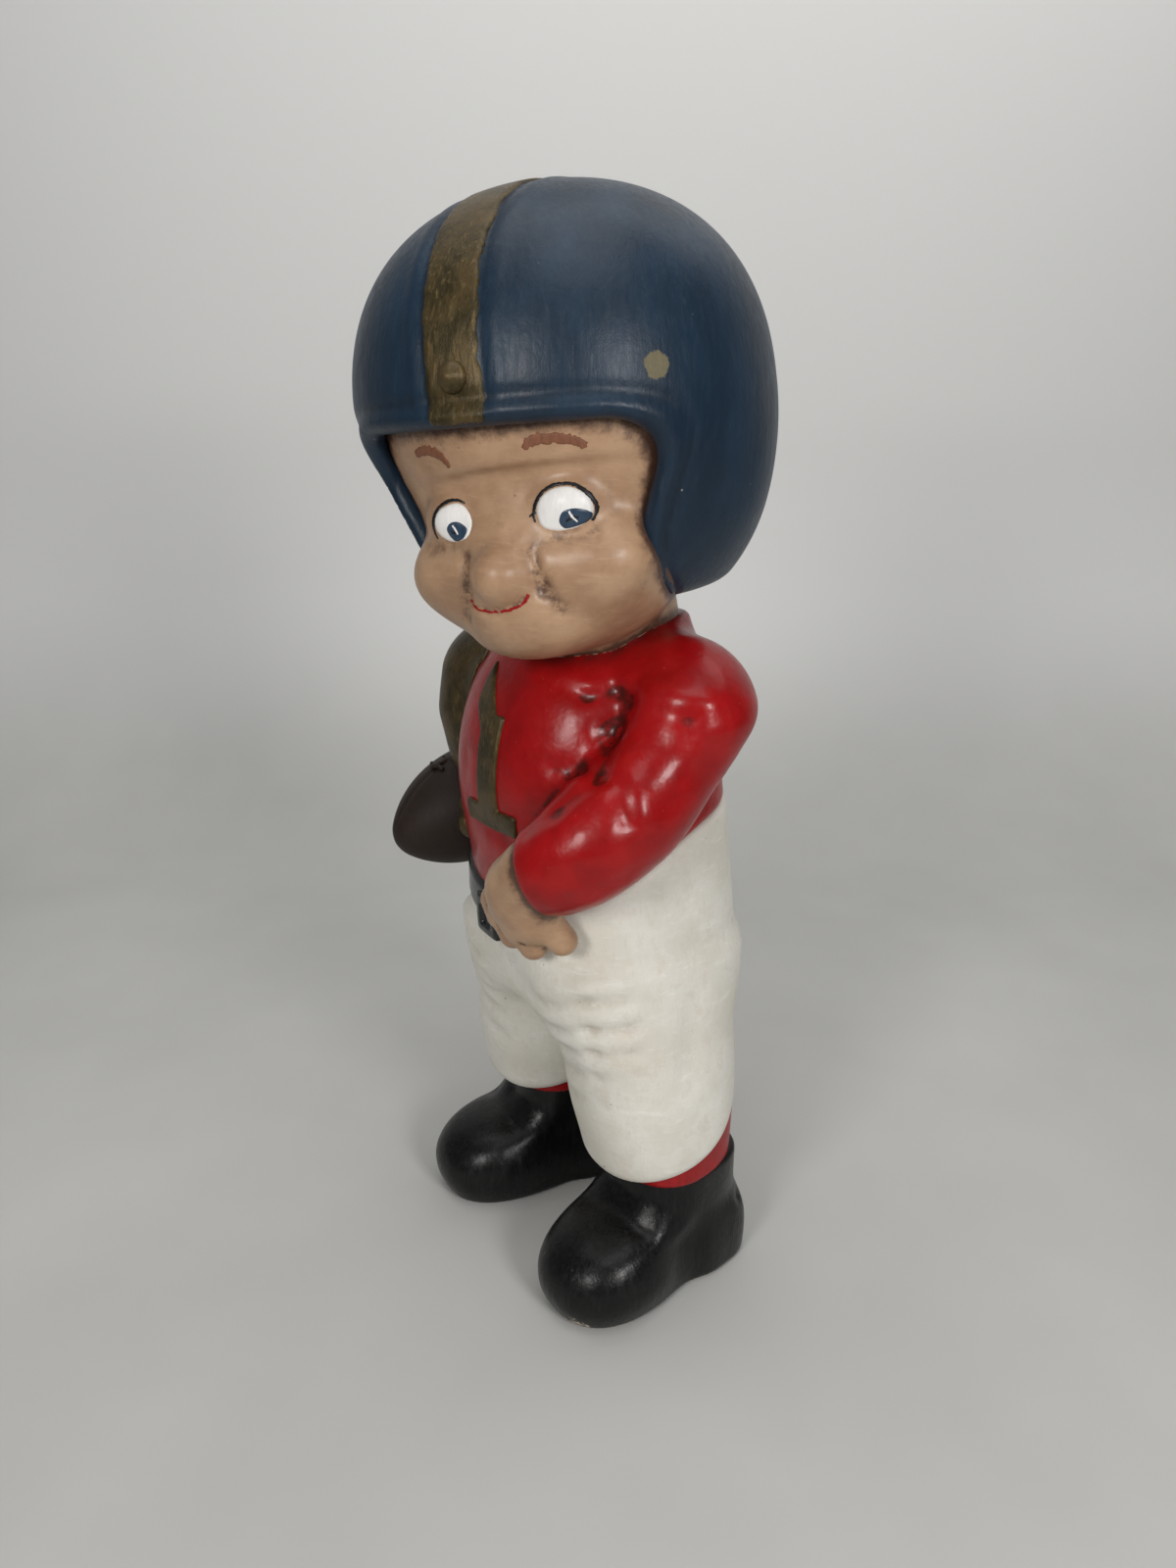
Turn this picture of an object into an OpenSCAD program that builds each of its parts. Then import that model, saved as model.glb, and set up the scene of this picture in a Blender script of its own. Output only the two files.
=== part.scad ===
// Hand-painted slip-cast ceramic figure: a toddler in an old-style football uniform with a ball
// tucked under the right arm. Every casting is hollow and is luted to its neighbour at a flat or
// fitted joint. The figure faces -Y, its left side is +X, and the soles stand on z = 0.
// The origin is the middle of the footprint of the whole figure, the ball's side included.

/* [Figure] */
// Height from the soles to the crown of the helmet
figure_h = 355; // [345:1:365]
// Wall thickness of the hollow castings
wall = 4.5; // [3.5:0.5:5.5]

/* [Shoes and legs] */
// Length of each shoe
shoe_l = 78; // [72:1:84]
// Width of each shoe
shoe_w = 42; // [38:1:44]
// Height of the shoe's collar above the ground
shoe_h = 47; // [45:1:50]
// Distance of each ankle from the centre plane
ankle_x = 34; // [33:0.5:36]
// Angle that each foot turns outwards
toe_out = 7; // [3:1:10]
// Diameter of the casting vent through each sole
vent_d = 10; // [6:1:14]
// Thickness of the sole around the vent
sole_t = 6; // [5:0.5:8]

/* [Body] */
// Width of the waist
waist_w = 90; // [84:1:96]
// Front-to-back depth of the waist
waist_d = 80; // [74:1:86]
// Height of the belt
belt_h = 9; // [7:0.5:11]
// Distance of each shoulder's centre from the centre plane
shoulder_x = 47; // [44:1:50]
// Width of the raised numeral on the chest
numeral_w = 26; // [20:1:30]
// Height of the raised numeral
numeral_h = 38; // [32:1:40]

/* [Head and helmet] */
// Turn of the head towards the figure's left
head_turn = 30; // [0:1:35]
// Lean of the head towards the figure's right
head_lean = 8; // [0:1:12]
// Width of the helmet
helmet_w = 123; // [118:1:128]
// Front-to-back length of the helmet
helmet_l = 127; // [122:1:132]
// Width of the helmet's centre stripe
stripe_w = 16; // [12:1:20]
// Diameter of the stud at the front of the stripe
stud_d = 8; // [6:0.5:10]

/* [Football] */
// Length of the football, tip to tip
ball_l = 74; // [68:1:80]
// Diameter of the football
ball_d = 43; // [40:1:46]

/* [Hidden] */

middle = [14.5, 7.4, 0];    // where the point between the ankles stands
sides = 28;             // points round each loop of a loft
steps = 2;              // loops from one key section to the next
gap = 0.1;              // clearance left where one casting is fitted round another
ball_sides = 28;

relief = 1.2;           // how far a painted relief stands off its casting
helmet_z = 62.5;        // half height of the full helmet form
head_c = [0, -7, figure_h - helmet_z - relief];   // helmet centre, where the head's axes start
opening_half = 50;      // half angle of the face opening
flap_drop = 49;         // how far the cheek flaps hang below the helmet's centre
brow_drop = 4;          // how far the brow edge is below the helmet's centre
brow_tilt = 5;          // the brow edge is lower on the figure's left

hem_slope = 0.54;       // rise of the waist per unit of depth, front to back
cuff_slope = 0.30;      // rise of the trouser cuffs, front to back
collar_slope = 0.04;    // rise of the shoe collars, front to back
waist_z = 160;          // mid height of the seam between jersey and trousers
belt_drop = 4;          // how far the belt's middle is below that seam
belt_end = 22;          // where the belt goes under the left hand
hip_z = 108;            // height where the legs meet the seat
neck_z = 230;           // mid height of the jersey's neck edge
neck_vent_d = 24;       // opening from the head into the body
numeral_x = 3;          // the numeral stands a little to the figure's left of the centre plane
numeral_z = 184.5;      // height of the numeral's middle
sleeve_stripe_w = 17;   // width of the painted band on the right sleeve

ball_c = [-64, -8, 150];
ball_tilt = 16;         // the ball's rear tip is higher than its front tip
ball_vent_d = 6;        // casting vent on the side of the ball that the body covers

function unit(v) = v / norm(v);
function mean(loop) = [for (k = [0:2]) sum([for (p = loop) p[k]]) / len(loop)];
function sum(v) = v * [for (x = v) 1];
function bow(x, e) = sign(x) * pow(abs(x), 2 / e);

// A closed loop of points round centre c with half axes u and v; e above 2 squares it
function loop(c, u, v, e) =
    [for (i = [0:sides - 1]) let (t = 360 * i / sides) c + bow(cos(t), e) * u + bow(sin(t), e) * v];

// A curve through rows of values, with n steps between rows
function blend(a, b, c, d, t) =
    (2 * b + (c - a) * t + (2 * a - 5 * b + 4 * c - d) * t * t + (3 * b - a - 3 * c + d) * t * t * t) / 2;
function smooth(rows) = [
    for (i = [0:len(rows) - 2], s = [0:steps - 1])
        blend(rows[max(i - 1, 0)], rows[i], rows[i + 1], rows[min(i + 2, len(rows) - 1)], s / steps),
    rows[len(rows) - 1]
];

// Loops that stack upwards. A row is [z, x, y, half width, half depth, slope]
function stack(rows, inset = 0, e = 2.2) = [
    for (r = smooth(rows))
        loop([r[1], r[2], r[0]], [r[3] - inset, 0, 0], (r[4] - inset) * [0, 1, r[5]], e)
];

// Loops along a path. A row is [x, y, z, half width, half thickness], and the width is square to flat
function along(rows, flat, inset = 0) = let (k = smooth(rows), last = len(k) - 1) [
    for (i = [0:last]) let (
        a = k[max(i - 1, 0)], b = k[min(i + 1, last)],
        t = unit([b[0] - a[0], b[1] - a[1], b[2] - a[2]]),
        u = unit(cross(t, flat)))
    loop([k[i][0], k[i][1], k[i][2]], u * (k[i][3] - inset), cross(t, u) * (k[i][4] - inset), 2.1)
];

function walls(first, m, n, inward = false) = [
    for (i = [0:n - 2], j = [0:m - 1]) let (
        a = first + i * m + j, b = first + i * m + (j + 1) % m, c = a + m, d = b + m)
    each inward ? [[a, d, c], [a, b, d]] : [[a, c, d], [a, d, b]]
];
function fan(first, m, centre, up) =
    [for (j = [0:m - 1]) let (a = first + j, b = first + (j + 1) % m) up ? [centre, b, a] : [centre, a, b]];
function ring(out_first, in_first, m, up) = [
    for (j = [0:m - 1]) let (
        a = out_first + j, b = out_first + (j + 1) % m, c = in_first + j, d = in_first + (j + 1) % m)
    each up ? [[a, c, d], [a, d, b]] : [[a, d, c], [a, b, d]]
];

// Solid skin over loops, closed at both ends
module skin(loops) {
    m = len(loops[0]);
    n = len(loops);
    polyhedron(
        points = [for (l = loops) each l, mean(loops[0]), mean(loops[n - 1])],
        faces = [
            each walls(0, m, n),
            each fan(0, m, n * m, false),
            each fan((n - 1) * m, m, n * m + 1, true)
        ]);
}

// Hollow skin between outer and inner loops. open_low and open_high leave that end of the hollow open
module casting(outer, inner, open_low = true, open_high = true) {
    m = len(outer[0]);
    n = len(outer);
    k = len(inner);
    out_top = (n - 1) * m;
    in_low = n * m;
    in_top = in_low + (k - 1) * m;
    hubs = in_low + k * m;
    polyhedron(
        points = [
            for (l = outer) each l, for (l = inner) each l,
            mean(outer[0]), mean(outer[n - 1]), mean(inner[0]), mean(inner[k - 1])
        ],
        faces = [
            each walls(0, m, n),
            each walls(in_low, m, k, true),
            each open_low ? ring(0, in_low, m, false)
                : [each fan(0, m, hubs, false), each fan(in_low, m, hubs + 2, true)],
            each open_high ? ring(out_top, in_top, m, true)
                : [each fan(out_top, m, hubs + 1, true), each fan(in_top, m, hubs + 3, false)]
        ]);
}

// Moves a piece from the axes between the ankles to the origin
module placed() {
    translate(middle) children();
}

// Joins its children into one mesh, at the size they have
module one_mesh() {
    resize([0, 0, 0]) children();
}

// ---------------------------------------------------------------- shoes, socks and legs

// The shoe's axes: origin on the ground under the ankle, toe towards -Y
module at_ankle() {
    translate([ankle_x, 8, 0]) rotate([0, 0, toe_out]) children();
}

shoe_half = shoe_l / 2;
shoe_e = 2.7;           // the shoes are squarer in plan than the rest
vent_y = -4;            // the vent is this far behind the ankle's centre
shoe_rows = [
    [0, 0, -9, shoe_w / 2 - 3, shoe_half - 3, 0],
    [5, 0, -9, shoe_w / 2 - 0.8, shoe_half - 0.6, 0],
    [13, 0, -9, shoe_w / 2, shoe_half, 0],
    [23, 0, -6, shoe_w / 2, shoe_half - 4, 0],
    [31, 0, 1, shoe_w / 2 - 0.5, shoe_half - 13, 0],
    [39, 0, 4, shoe_w / 2, shoe_half - 18, 0.5 * collar_slope],
    [shoe_h, 0, 4, shoe_w / 2 + 0.5, shoe_half - 18, collar_slope]
];
collar_row = shoe_rows[len(shoe_rows) - 1];
cuff_z = shoe_h + 8;
cuff_row = [cuff_z, 0, 1, 23.5, 24, cuff_slope];

module shoe() {
    hollow = [
        [sole_t, for (k = [1:5]) shoe_rows[1][k]],
        for (i = [2:len(shoe_rows) - 1]) shoe_rows[i]
    ];
    color("dimgray") at_ankle() difference() {
        casting(stack(shoe_rows, 0, shoe_e), stack(hollow, wall, shoe_e), open_low = false);
        translate([0, vent_y, -1]) cylinder(d = vent_d, h = sole_t + 3, $fn = 48);
    }
}
module left_shoe() {
    placed() shoe();
}
module right_shoe() {
    placed() mirror([1, 0, 0]) shoe();
}

module sock() {
    top = [cuff_row[0] - 0.6, 0, 1.5, collar_row[3] - 0.2, collar_row[4], cuff_slope];
    low = [collar_row[0] + 0.1, 0, collar_row[2], collar_row[3] - 0.5, collar_row[4] - 0.5, collar_slope];
    color("crimson") at_ankle()
        casting(stack([low, top], 0, shoe_e), stack([low, top], wall, shoe_e));
}
module left_sock() {
    placed() sock();
}
module right_sock() {
    placed() mirror([1, 0, 0]) sock();
}

// Rows of the left trouser leg in the figure's axes, from the cuff to the hip
leg_rows = [
    [cuff_z, ankle_x, 8, 23.5, 24, cuff_slope],
    [65, ankle_x - 1.5, 7, 25.5, 26, 0.1],
    [82, ankle_x - 4, 5, 27, 29, 0.05],
    [96, ankle_x - 7, 4, 26, 31, 0],
    [hip_z, ankle_x - 10.5, 4, 23.3, 33, 0]
];

module pant_leg() {
    color("ivory") casting(stack(leg_rows), stack(leg_rows, wall));
}
module left_pant_leg() {
    placed() pant_leg();
}
module right_pant_leg() {
    placed() mirror([1, 0, 0]) pant_leg();
}

seat_rows = [
    [hip_z + 0.1, 0, 5, 47, 37, 0],
    [118, 0, 6, 47.5, 39.5, 0.06],
    [132, 0, 5.5, 47, 40.5, 0.26],
    [waist_z - 0.1, 0, 4, waist_w / 2, waist_d / 2, hem_slope]
];

module pants_seat() {
    placed() color("ivory") casting(stack(seat_rows), stack(seat_rows, wall));
}

belt_rows = [
    [waist_z - 20, 0, 4.5, waist_w / 2 + 1, waist_d / 2 + 0.3, 0.4],
    [waist_z, 0, 4, waist_w / 2, waist_d / 2, hem_slope],
    [waist_z + 10, 0, 3, waist_w / 2, waist_d / 2, hem_slope]
];

// The belt shows only across the front, where the jersey is tucked into it
module belt() {
    placed() color("darkslategray") one_mesh() difference() {
        skin(stack(belt_rows, -relief));
        skin(stack(belt_rows, -gap));
        body_form();
        for (side = [-1, 1])
            multmatrix([[1, 0, 0, 0], [0, 1, 0, 0], [0, hem_slope, 1, waist_z - belt_drop], [0, 0, 0, 1]])
                translate([0, 0, side * (50 + belt_h / 2)]) cube([200, 200, 100], center = true);
        translate([-100, -8, 0]) cube([200, 200, 400]);
        translate([belt_end, -100, 0]) cube([200, 200, 400]);
    }
}

// ---------------------------------------------------------------- jersey

jersey_rows = [
    [waist_z, 0, 4, waist_w / 2, waist_d / 2, hem_slope],
    [177, 0, 1.5, waist_w / 2, waist_d / 2 + 0.5, 0.34],
    [192, 0, 0.5, waist_w / 2 - 2, waist_d / 2 - 0.2, 0.16],
    [207, 0, 1.5, waist_w / 2 - 5.5, waist_d / 2 - 4, 0.03],
    [219, 0, 3.5, 35.5, 31, -0.05],
    [neck_z, 0, 5, 27, 25.5, 0]
];

module torso_shell() {
    placed() color("firebrick") casting(stack(jersey_rows), stack(jersey_rows, wall));
}

// The numeral's strokes on the front plane, a plain upright bar with a flag and a foot
module jersey_numeral() {
    bar = numeral_w * 0.36;         // width of every stroke
    flag = bar * 1.7;               // drop of the flag at its tip
    foot = bar * 0.8;
    placed() color("olive") one_mesh() intersection() {
        translate([numeral_x, 0, numeral_z]) rotate([90, 0, 0]) linear_extrude(60) union() {
            translate([-bar / 2, -numeral_h / 2]) square([bar, numeral_h]);
            translate([-numeral_w / 2, -numeral_h / 2]) square([numeral_w, foot]);
            polygon([
                [-bar / 2, numeral_h / 2], [-bar / 2, numeral_h / 2 - bar],
                [-numeral_w / 2, numeral_h / 2 - flag], [-numeral_w / 2, numeral_h / 2 - foot]
            ]);
        }
        difference() {
            skin(stack(jersey_rows, -relief));
            skin(stack(jersey_rows, -gap));
        }
    }
}

left_arm = [
    [shoulder_x - 19, 8, 207, 8, 8],
    [shoulder_x - 6, 6, 212, 15, 14],
    [shoulder_x + 2.6, 2.2, 204.6, 15.7, 15],
    [shoulder_x + 1.5, -5, 193, 15.5, 14.8],
    [shoulder_x + 0.5, -15, 183, 16.5, 15.8],
    [shoulder_x - 2, -30, 172.5, 15.2, 14.8],
    [shoulder_x - 10, -40, 164, 12.8, 12.3]
];
right_arm = [
    [19 - shoulder_x, 8, 206, 8, 8],
    [6 - shoulder_x, -1, 210, 15, 14],
    [-shoulder_x - 1.5, -8, 202.5, 16, 15.5],
    [-shoulder_x - 2.5, -9, 187, 15, 14.5],
    [-shoulder_x - 3, 0, 168, 14, 13.5],
    [-shoulder_x - 22, 18, 153, 13.5, 13.5],
    [-shoulder_x - 38, 8, 145, 12, 12]
];

// The direction each arm's widths are square to. The right arm hangs, so its is not the vertical
left_flat = [0, 0, 1];
right_flat = [0, 1, 0];

// The jersey and trousers as a filled form, for fitting the castings that are luted to them
module body_form(grow = gap) {
    skin(stack(jersey_rows, -grow));
    skin(stack(seat_rows, -grow));
}

// A path run on past its end by part of its last stretch
function run_on(path) = let (n = len(path) - 1) [
    for (i = [0:n - 1]) path[i],
    path[n] + 0.3 * (path[n] - path[n - 1])
];

module sleeve(path, flat) {
    color("firebrick") one_mesh() difference() {
        skin(along(path, flat));
        body_form();
        skin(along(run_on(path), flat, wall));
        in_head() skin(stack(face_rows, -gap));
    }
}
module left_sleeve() {
    placed() sleeve(left_arm, left_flat);
}
module right_sleeve() {
    placed() sleeve(right_arm, right_flat);
}

// The painted relief band that runs down the front of the right sleeve
module sleeve_stripe() {
    placed() color("olive") one_mesh() intersection() {
        difference() {
            skin(along(right_arm, right_flat, -relief));
            skin(along(right_arm, right_flat, -gap));
            body_form();
        }
        translate([-shoulder_x - 12, -40, 158]) rotate([0, -4, 0]) cube([sleeve_stripe_w, 42, 56]);
    }
}

// ---------------------------------------------------------------- hands and ball

hand_gap = -3.5;        // a hand is cut back to this far outside the sleeve's form

module finger(a, b, c, r) {
    hull() {
        translate(a) sphere(r, $fn = 16);
        translate(b) sphere(r, $fn = 16);
    }
    hull() {
        translate(b) sphere(r, $fn = 16);
        translate(c) sphere(r * 0.9, $fn = 16);
    }
}

module left_hand() {
    wrist = [left_arm[6][0], left_arm[6][1], left_arm[6][2]];
    placed() color("tan") difference() {
        union() {
            skin(along([
                [wrist[0] + 1, wrist[1] + 1, wrist[2], 9, 9],
                [wrist[0] - 5, wrist[1] - 3, wrist[2] - 4, 11, 9],
                [wrist[0] - 10, wrist[1] - 3.5, wrist[2] - 11, 13, 8.5],
                [wrist[0] - 13, wrist[1] - 2, wrist[2] - 18, 13, 7.5]
            ], [0, -1, 0.3]));
            for (i = [0:3])
                finger(
                    wrist + [-24.5 + i * 6.6, -3.5 + i * 1.2, -18 - i * 0.3],
                    wrist + [-25 + i * 7.2, -1.5 + i * 1.8, -25 - i * 0.6],
                    wrist + [-21 + i * 6.4, 3 + i * 1.8, -26 - i * 0.4], 4.6);
        }
        body_form();
        skin(along(left_arm, left_flat, hand_gap));
    }
}

module ball_form(grow = 0) {
    half = ball_l / 2 + grow;
    r = ball_d / 2 + grow;
    translate(ball_c) rotate([90 - ball_tilt, 0, 0]) rotate_extrude($fn = ball_sides)
        polygon([for (t = [-90:15:90]) [r * pow(cos(t), 1.25), half * sin(t)]]);
}

module football() {
    placed() color("saddlebrown") one_mesh() difference() {
        ball_form();
        ball_form(-wall);
        body_form();
        skin(along(right_arm, right_flat, -3 * gap));
        translate(ball_c) rotate([0, 90, 0]) cylinder(d = ball_vent_d, h = ball_d, $fn = 24);
    }
}

module right_hand() {
    wrist = [right_arm[6][0], right_arm[6][1], right_arm[6][2]];
    placed() color("tan") difference() {
        union() {
            skin(along([
                [wrist[0], wrist[1] + 1, wrist[2], 9, 9],
                [wrist[0] - 1, wrist[1] - 8, wrist[2] - 2, 10, 8],
                [wrist[0], wrist[1] - 17, wrist[2] - 4, 11, 6]
            ], [1, 0, 0]));
            for (i = [0:3])
                finger(
                    wrist + [0, -14 + i * 0.6, 6 - i * 6],
                    wrist + [1, -22 + i, 5 - i * 6],
                    wrist + [5, -28 + i * 2, 4 - i * 6], 3.8);
        }
        ball_form(gap);
        body_form();
        skin(along(right_arm, right_flat, hand_gap));
    }
}

// ---------------------------------------------------------------- head and helmet

// The head's axes: origin at the helmet's centre, face towards -Y
module in_head() {
    translate(head_c) rotate([0, 0, head_turn]) rotate([0, -head_lean, 0]) children();
}
module out_of_head() {
    rotate([0, head_lean, 0]) rotate([0, 0, -head_turn]) translate(-head_c) children();
}

// Loops of the helmet's full form, from the cut under the flaps to the crown
function helmet_loops(inset) = [
    for (s = [-flap_drop, -40, -30, -18, -5, 10, 24, 36, 46, 54, 59, 61.6]) let (
        z = s * (helmet_z - inset) / helmet_z,
        k = pow(1 - pow(abs(s / helmet_z), 2.3), 1 / 2.3))
    loop([0, 0, z], [(helmet_w / 2 - inset) * k, 0, 0], [0, (helmet_l / 2 - inset) * k, 0], 2.1)
];

// What the face opening removes: a wedge ahead of the ears and below the brow
module face_opening(grow = 0) {
    far = 100;
    rotate([0, brow_tilt, 0]) translate([0, 0, -far - brow_drop + grow]) linear_extrude(far)
        polygon([
            [0, 10], [far * sin(opening_half), -far * cos(opening_half)],
            [0, -2 * far], [-far * sin(opening_half), -far * cos(opening_half)]
        ]);
}

module helmet_shell() {
    placed() color("steelblue") in_head() one_mesh() difference() {
        skin(helmet_loops(0));
        translate([0, 0, -2]) skin(helmet_loops(wall));
        skin(stack(face_rows, -gap));
        face_opening();
        out_of_head() body_form();
    }
}

module helmet_stripe() {
    placed() color("olive") in_head() one_mesh() difference() {
        skin(helmet_loops(-relief));
        skin(helmet_loops(-gap));
        face_opening();
        for (side = [-1, 1])
            translate([side * (50 + stripe_w / 2), 0, 60]) cube([100, 300, 300], center = true);
    }
}

module helmet_stud() {
    dome = 2.2;
    placed() color("olive") in_head() translate([0, -helmet_l / 2 - relief, 8]) rotate([90, 0, 0])
        rotate_extrude($fn = 48) polygon([
            [0, 0], [stud_d / 2, 0],
            for (t = [0:15:75]) [stud_d / 2 * cos(t), dome * (0.2 + 0.8 * sin(t))],
            [0, dome]
        ]);
}

// Raised bead along the brow edge
module helmet_rim() {
    placed() color("steelblue") in_head() one_mesh() intersection() {
        difference() {
            skin(helmet_loops(-relief));
            skin(helmet_loops(-gap));
            translate([0, -100, 0]) cube([stripe_w + 0.4, 200, 400], center = true);
        }
        difference() {
            face_opening(4);
            face_opening(0);
        }
    }
}

face_rows = [
    [-69, 0, -16, 17, 17, 0],
    [-65, 0, -15, 28, 26, 0],
    [-57, 0, -13, 36, 35, 0],
    [-46, 0, -10, 40, 41, 0],
    [-34, 0, -7, 41, 43, 0],
    [-20, 0, -5, 46, 47, 0],
    [-4, 0, -2, 55, 54, 0],
    [16, 0, 0, 54.5, 56, 0],
    [34, 0, 0, 47, 49, 0],
    [48, 0, 0, 34, 36, 0]
];

module head_shell() {
    placed() color("tan") in_head() one_mesh() difference() {
        union() {
            skin(stack(face_rows));
            translate([0, -50, -44]) sphere(9, $fn = 20);
            for (side = [-1, 1])
                translate([side * 21, -32, -47]) sphere(18, $fn = 20);
        }
        skin(stack(face_rows, wall));
        out_of_head() body_form();
        translate([0, 0, -80]) cylinder(d = neck_vent_d, h = 30, $fn = 32);
    }
}

helmet_shell();
helmet_stripe();
helmet_stud();
helmet_rim();
head_shell();
torso_shell();
jersey_numeral();
left_sleeve();
right_sleeve();
sleeve_stripe();
left_hand();
right_hand();
football();
belt();
pants_seat();
left_pant_leg();
right_pant_leg();
left_sock();
right_sock();
left_shoe();
right_shoe();
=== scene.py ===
import math
import bmesh
import bpy
import numpy as np
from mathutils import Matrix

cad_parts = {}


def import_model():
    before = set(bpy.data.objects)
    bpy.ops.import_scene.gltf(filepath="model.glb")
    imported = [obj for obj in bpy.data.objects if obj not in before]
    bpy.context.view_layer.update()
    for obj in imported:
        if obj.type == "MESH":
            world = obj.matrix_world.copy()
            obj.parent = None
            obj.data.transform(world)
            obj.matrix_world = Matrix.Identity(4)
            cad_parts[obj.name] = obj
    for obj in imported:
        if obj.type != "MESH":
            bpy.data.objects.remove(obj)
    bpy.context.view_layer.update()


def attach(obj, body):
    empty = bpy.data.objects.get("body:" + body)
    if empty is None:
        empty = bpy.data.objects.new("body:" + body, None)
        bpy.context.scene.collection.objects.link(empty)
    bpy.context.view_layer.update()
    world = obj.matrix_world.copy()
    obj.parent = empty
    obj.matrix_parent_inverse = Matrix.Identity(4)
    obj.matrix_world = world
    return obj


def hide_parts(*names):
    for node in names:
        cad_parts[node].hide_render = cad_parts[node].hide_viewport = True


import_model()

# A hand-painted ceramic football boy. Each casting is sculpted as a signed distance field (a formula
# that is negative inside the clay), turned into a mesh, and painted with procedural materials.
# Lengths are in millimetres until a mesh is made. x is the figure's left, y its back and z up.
import openvdb
from mathutils import Vector

MM = 0.001
MIDDLE = np.array((14.5, 7.4, 0.0))    # where the CAD puts the point between the ankles


def world(p):
    """Metres in the CAD's frame from figure millimetres."""
    return (np.asarray(p, float) + MIDDLE) * MM


# -------------------- distance fields

def norm(v):
    return np.sqrt((v * v).sum(-1))


def turn(axis, degrees):
    """Rotation matrix about x, y or z."""
    c, s = math.cos(math.radians(degrees)), math.sin(math.radians(degrees))
    i, j = {"x": (1, 2), "y": (2, 0), "z": (0, 1)}[axis]
    m = np.eye(3)
    m[i, i], m[i, j], m[j, i], m[j, j] = c, -s, s, c
    return m


def blob(p, centre, radii, turned=None):
    """Ellipsoid."""
    q = p - np.array(centre, float)
    if turned is not None:
        q = q @ turned
    r = np.array(radii, float)
    k0 = norm(q / r)
    k1 = norm(q / (r * r)) + 1e-9
    return k0 * (k0 - 1.0) / k1


def rod(p, a, b, ra, rb=None):
    """Round-ended rod from a to b, tapering from ra to rb."""
    a, b = np.array(a, float), np.array(b, float)
    rb = ra if rb is None else rb
    h = np.clip(((p - a) @ (b - a)) / ((b - a) @ (b - a)), 0, 1)
    return norm(p - a - h[..., None] * (b - a)) - (ra + (rb - ra) * h)


def join(k, *fields):
    """Union with fillets of about k."""
    d = fields[0]
    for e in fields[1:]:
        h = np.maximum(k - np.abs(d - e), 0) / np.maximum(k, 1e-6)
        d = np.minimum(d, e) - h * h * k * 0.25
    return d


def both(k, *fields):
    """Intersection with rounded edges of about k."""
    return -join(k, *[-f for f in fields])


def ease(x, a, b):
    """0 below a, 1 above b, smooth between."""
    t = np.clip((x - a) / (b - a), 0, 1)
    return t * t * (3 - 2 * t)


def bump(d, width):
    """1 on a line or a surface, falling smoothly to 0 at about twice the width."""
    return np.exp(-(d / width) ** 2)


def mound(p, centre, width):
    """1 at a point, falling smoothly to 0 at about twice the width."""
    return bump(norm(p - np.array(centre, float)), width)


def fold(p, a, b, width):
    """1 on the line between two points, falling smoothly to 0 at about twice the width."""
    return bump(rod(p, a, b, 0.0), width)


def smooth(rows, steps, closed=False):
    """Points on a smooth curve through rows, with this many steps from each row to the next."""
    rows = np.array(rows, float)
    count = len(rows)
    fine = []
    for i in range(count if closed else count - 1):
        if closed:
            a, b, c, d = (rows[(i + k) % count] for k in (-1, 0, 1, 2))
        else:
            a, b, c, d = rows[max(i - 1, 0)], rows[i], rows[i + 1], rows[min(i + 2, count - 1)]
        for t in np.arange(steps) / steps:
            fine.append((2 * b + (c - a) * t + (2 * a - 5 * b + 4 * c - d) * t * t
                         + (3 * b - a - 3 * c + d) * t ** 3) / 2)
    return np.array(fine if closed else fine + [rows[-1]])


def curve(z, rows):
    """Smooth columns through rows of [z, value, value, ...]."""
    fine = smooth(rows, 8)
    return [np.interp(z, fine[:, 0], fine[:, k]) for k in range(1, fine.shape[1])]


def ratio(squareness, *shares):
    """1 on the surface of a form, from a point's shares of its half axes. A squareness of 2 is an ellipse."""
    return sum(np.abs(share) ** squareness for share in shares) ** (1 / squareness)


def stack(p, rows, squareness):
    """A form given by its level slices: rows of [z, x, y, half width, half depth]."""
    cx, cy, a, b = curve(p[..., 2], rows)
    return (ratio(squareness, (p[..., 0] - cx) / a, (p[..., 1] - cy) / b) - 1) * np.minimum(a, b)


def limb(p, path, k=6.0):
    """A chain of tapering rods through rows of [x, y, z, radius]."""
    d = None
    for a, b in zip(path[:-1], path[1:]):
        piece = rod(p, a[:3], b[:3], a[3], b[3])
        d = piece if d is None else join(k, d, piece)
    return d


def mirrored(p):
    """Points moved to the figure's left side, for forms that are the same on both."""
    return np.stack([np.abs(p[..., 0]), p[..., 1], p[..., 2]], -1)


class Axes:
    """Axes of a part of the figure that is turned or moved."""

    def __init__(self, origin, matrix):
        self.origin, self.matrix = np.array(origin, float), matrix

    def inside(self, p):
        return (p - self.origin) @ self.matrix

    def out(self, q):
        return np.asarray(q, float) @ self.matrix.T + self.origin


HEAD = Axes((0, -7, 291.3), turn("z", 30) @ turn("y", -8))


def foot_axes(side):
    return Axes((34 * side, 8, 0), turn("z", 7 * side))


# -------------------- helmet

BROW, FLAP_END, STRIPE_HALF = -3.5, -55.5, 8.2
DOME_HALF_WIDTH, DOME_HALF_DEPTH, DOME_TOP, DOME_BOTTOM = 61.3, 63.3, 61.0, 67.0
HELMET_THICK = 6.5
# Half angle of the face opening, in degrees, by height
OPENING = [[-66, 72], [-57, 62], [-48, 48.5], [-37, 44.5], [-26, 46.5], [-14, 50], [0, 51]]


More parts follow.
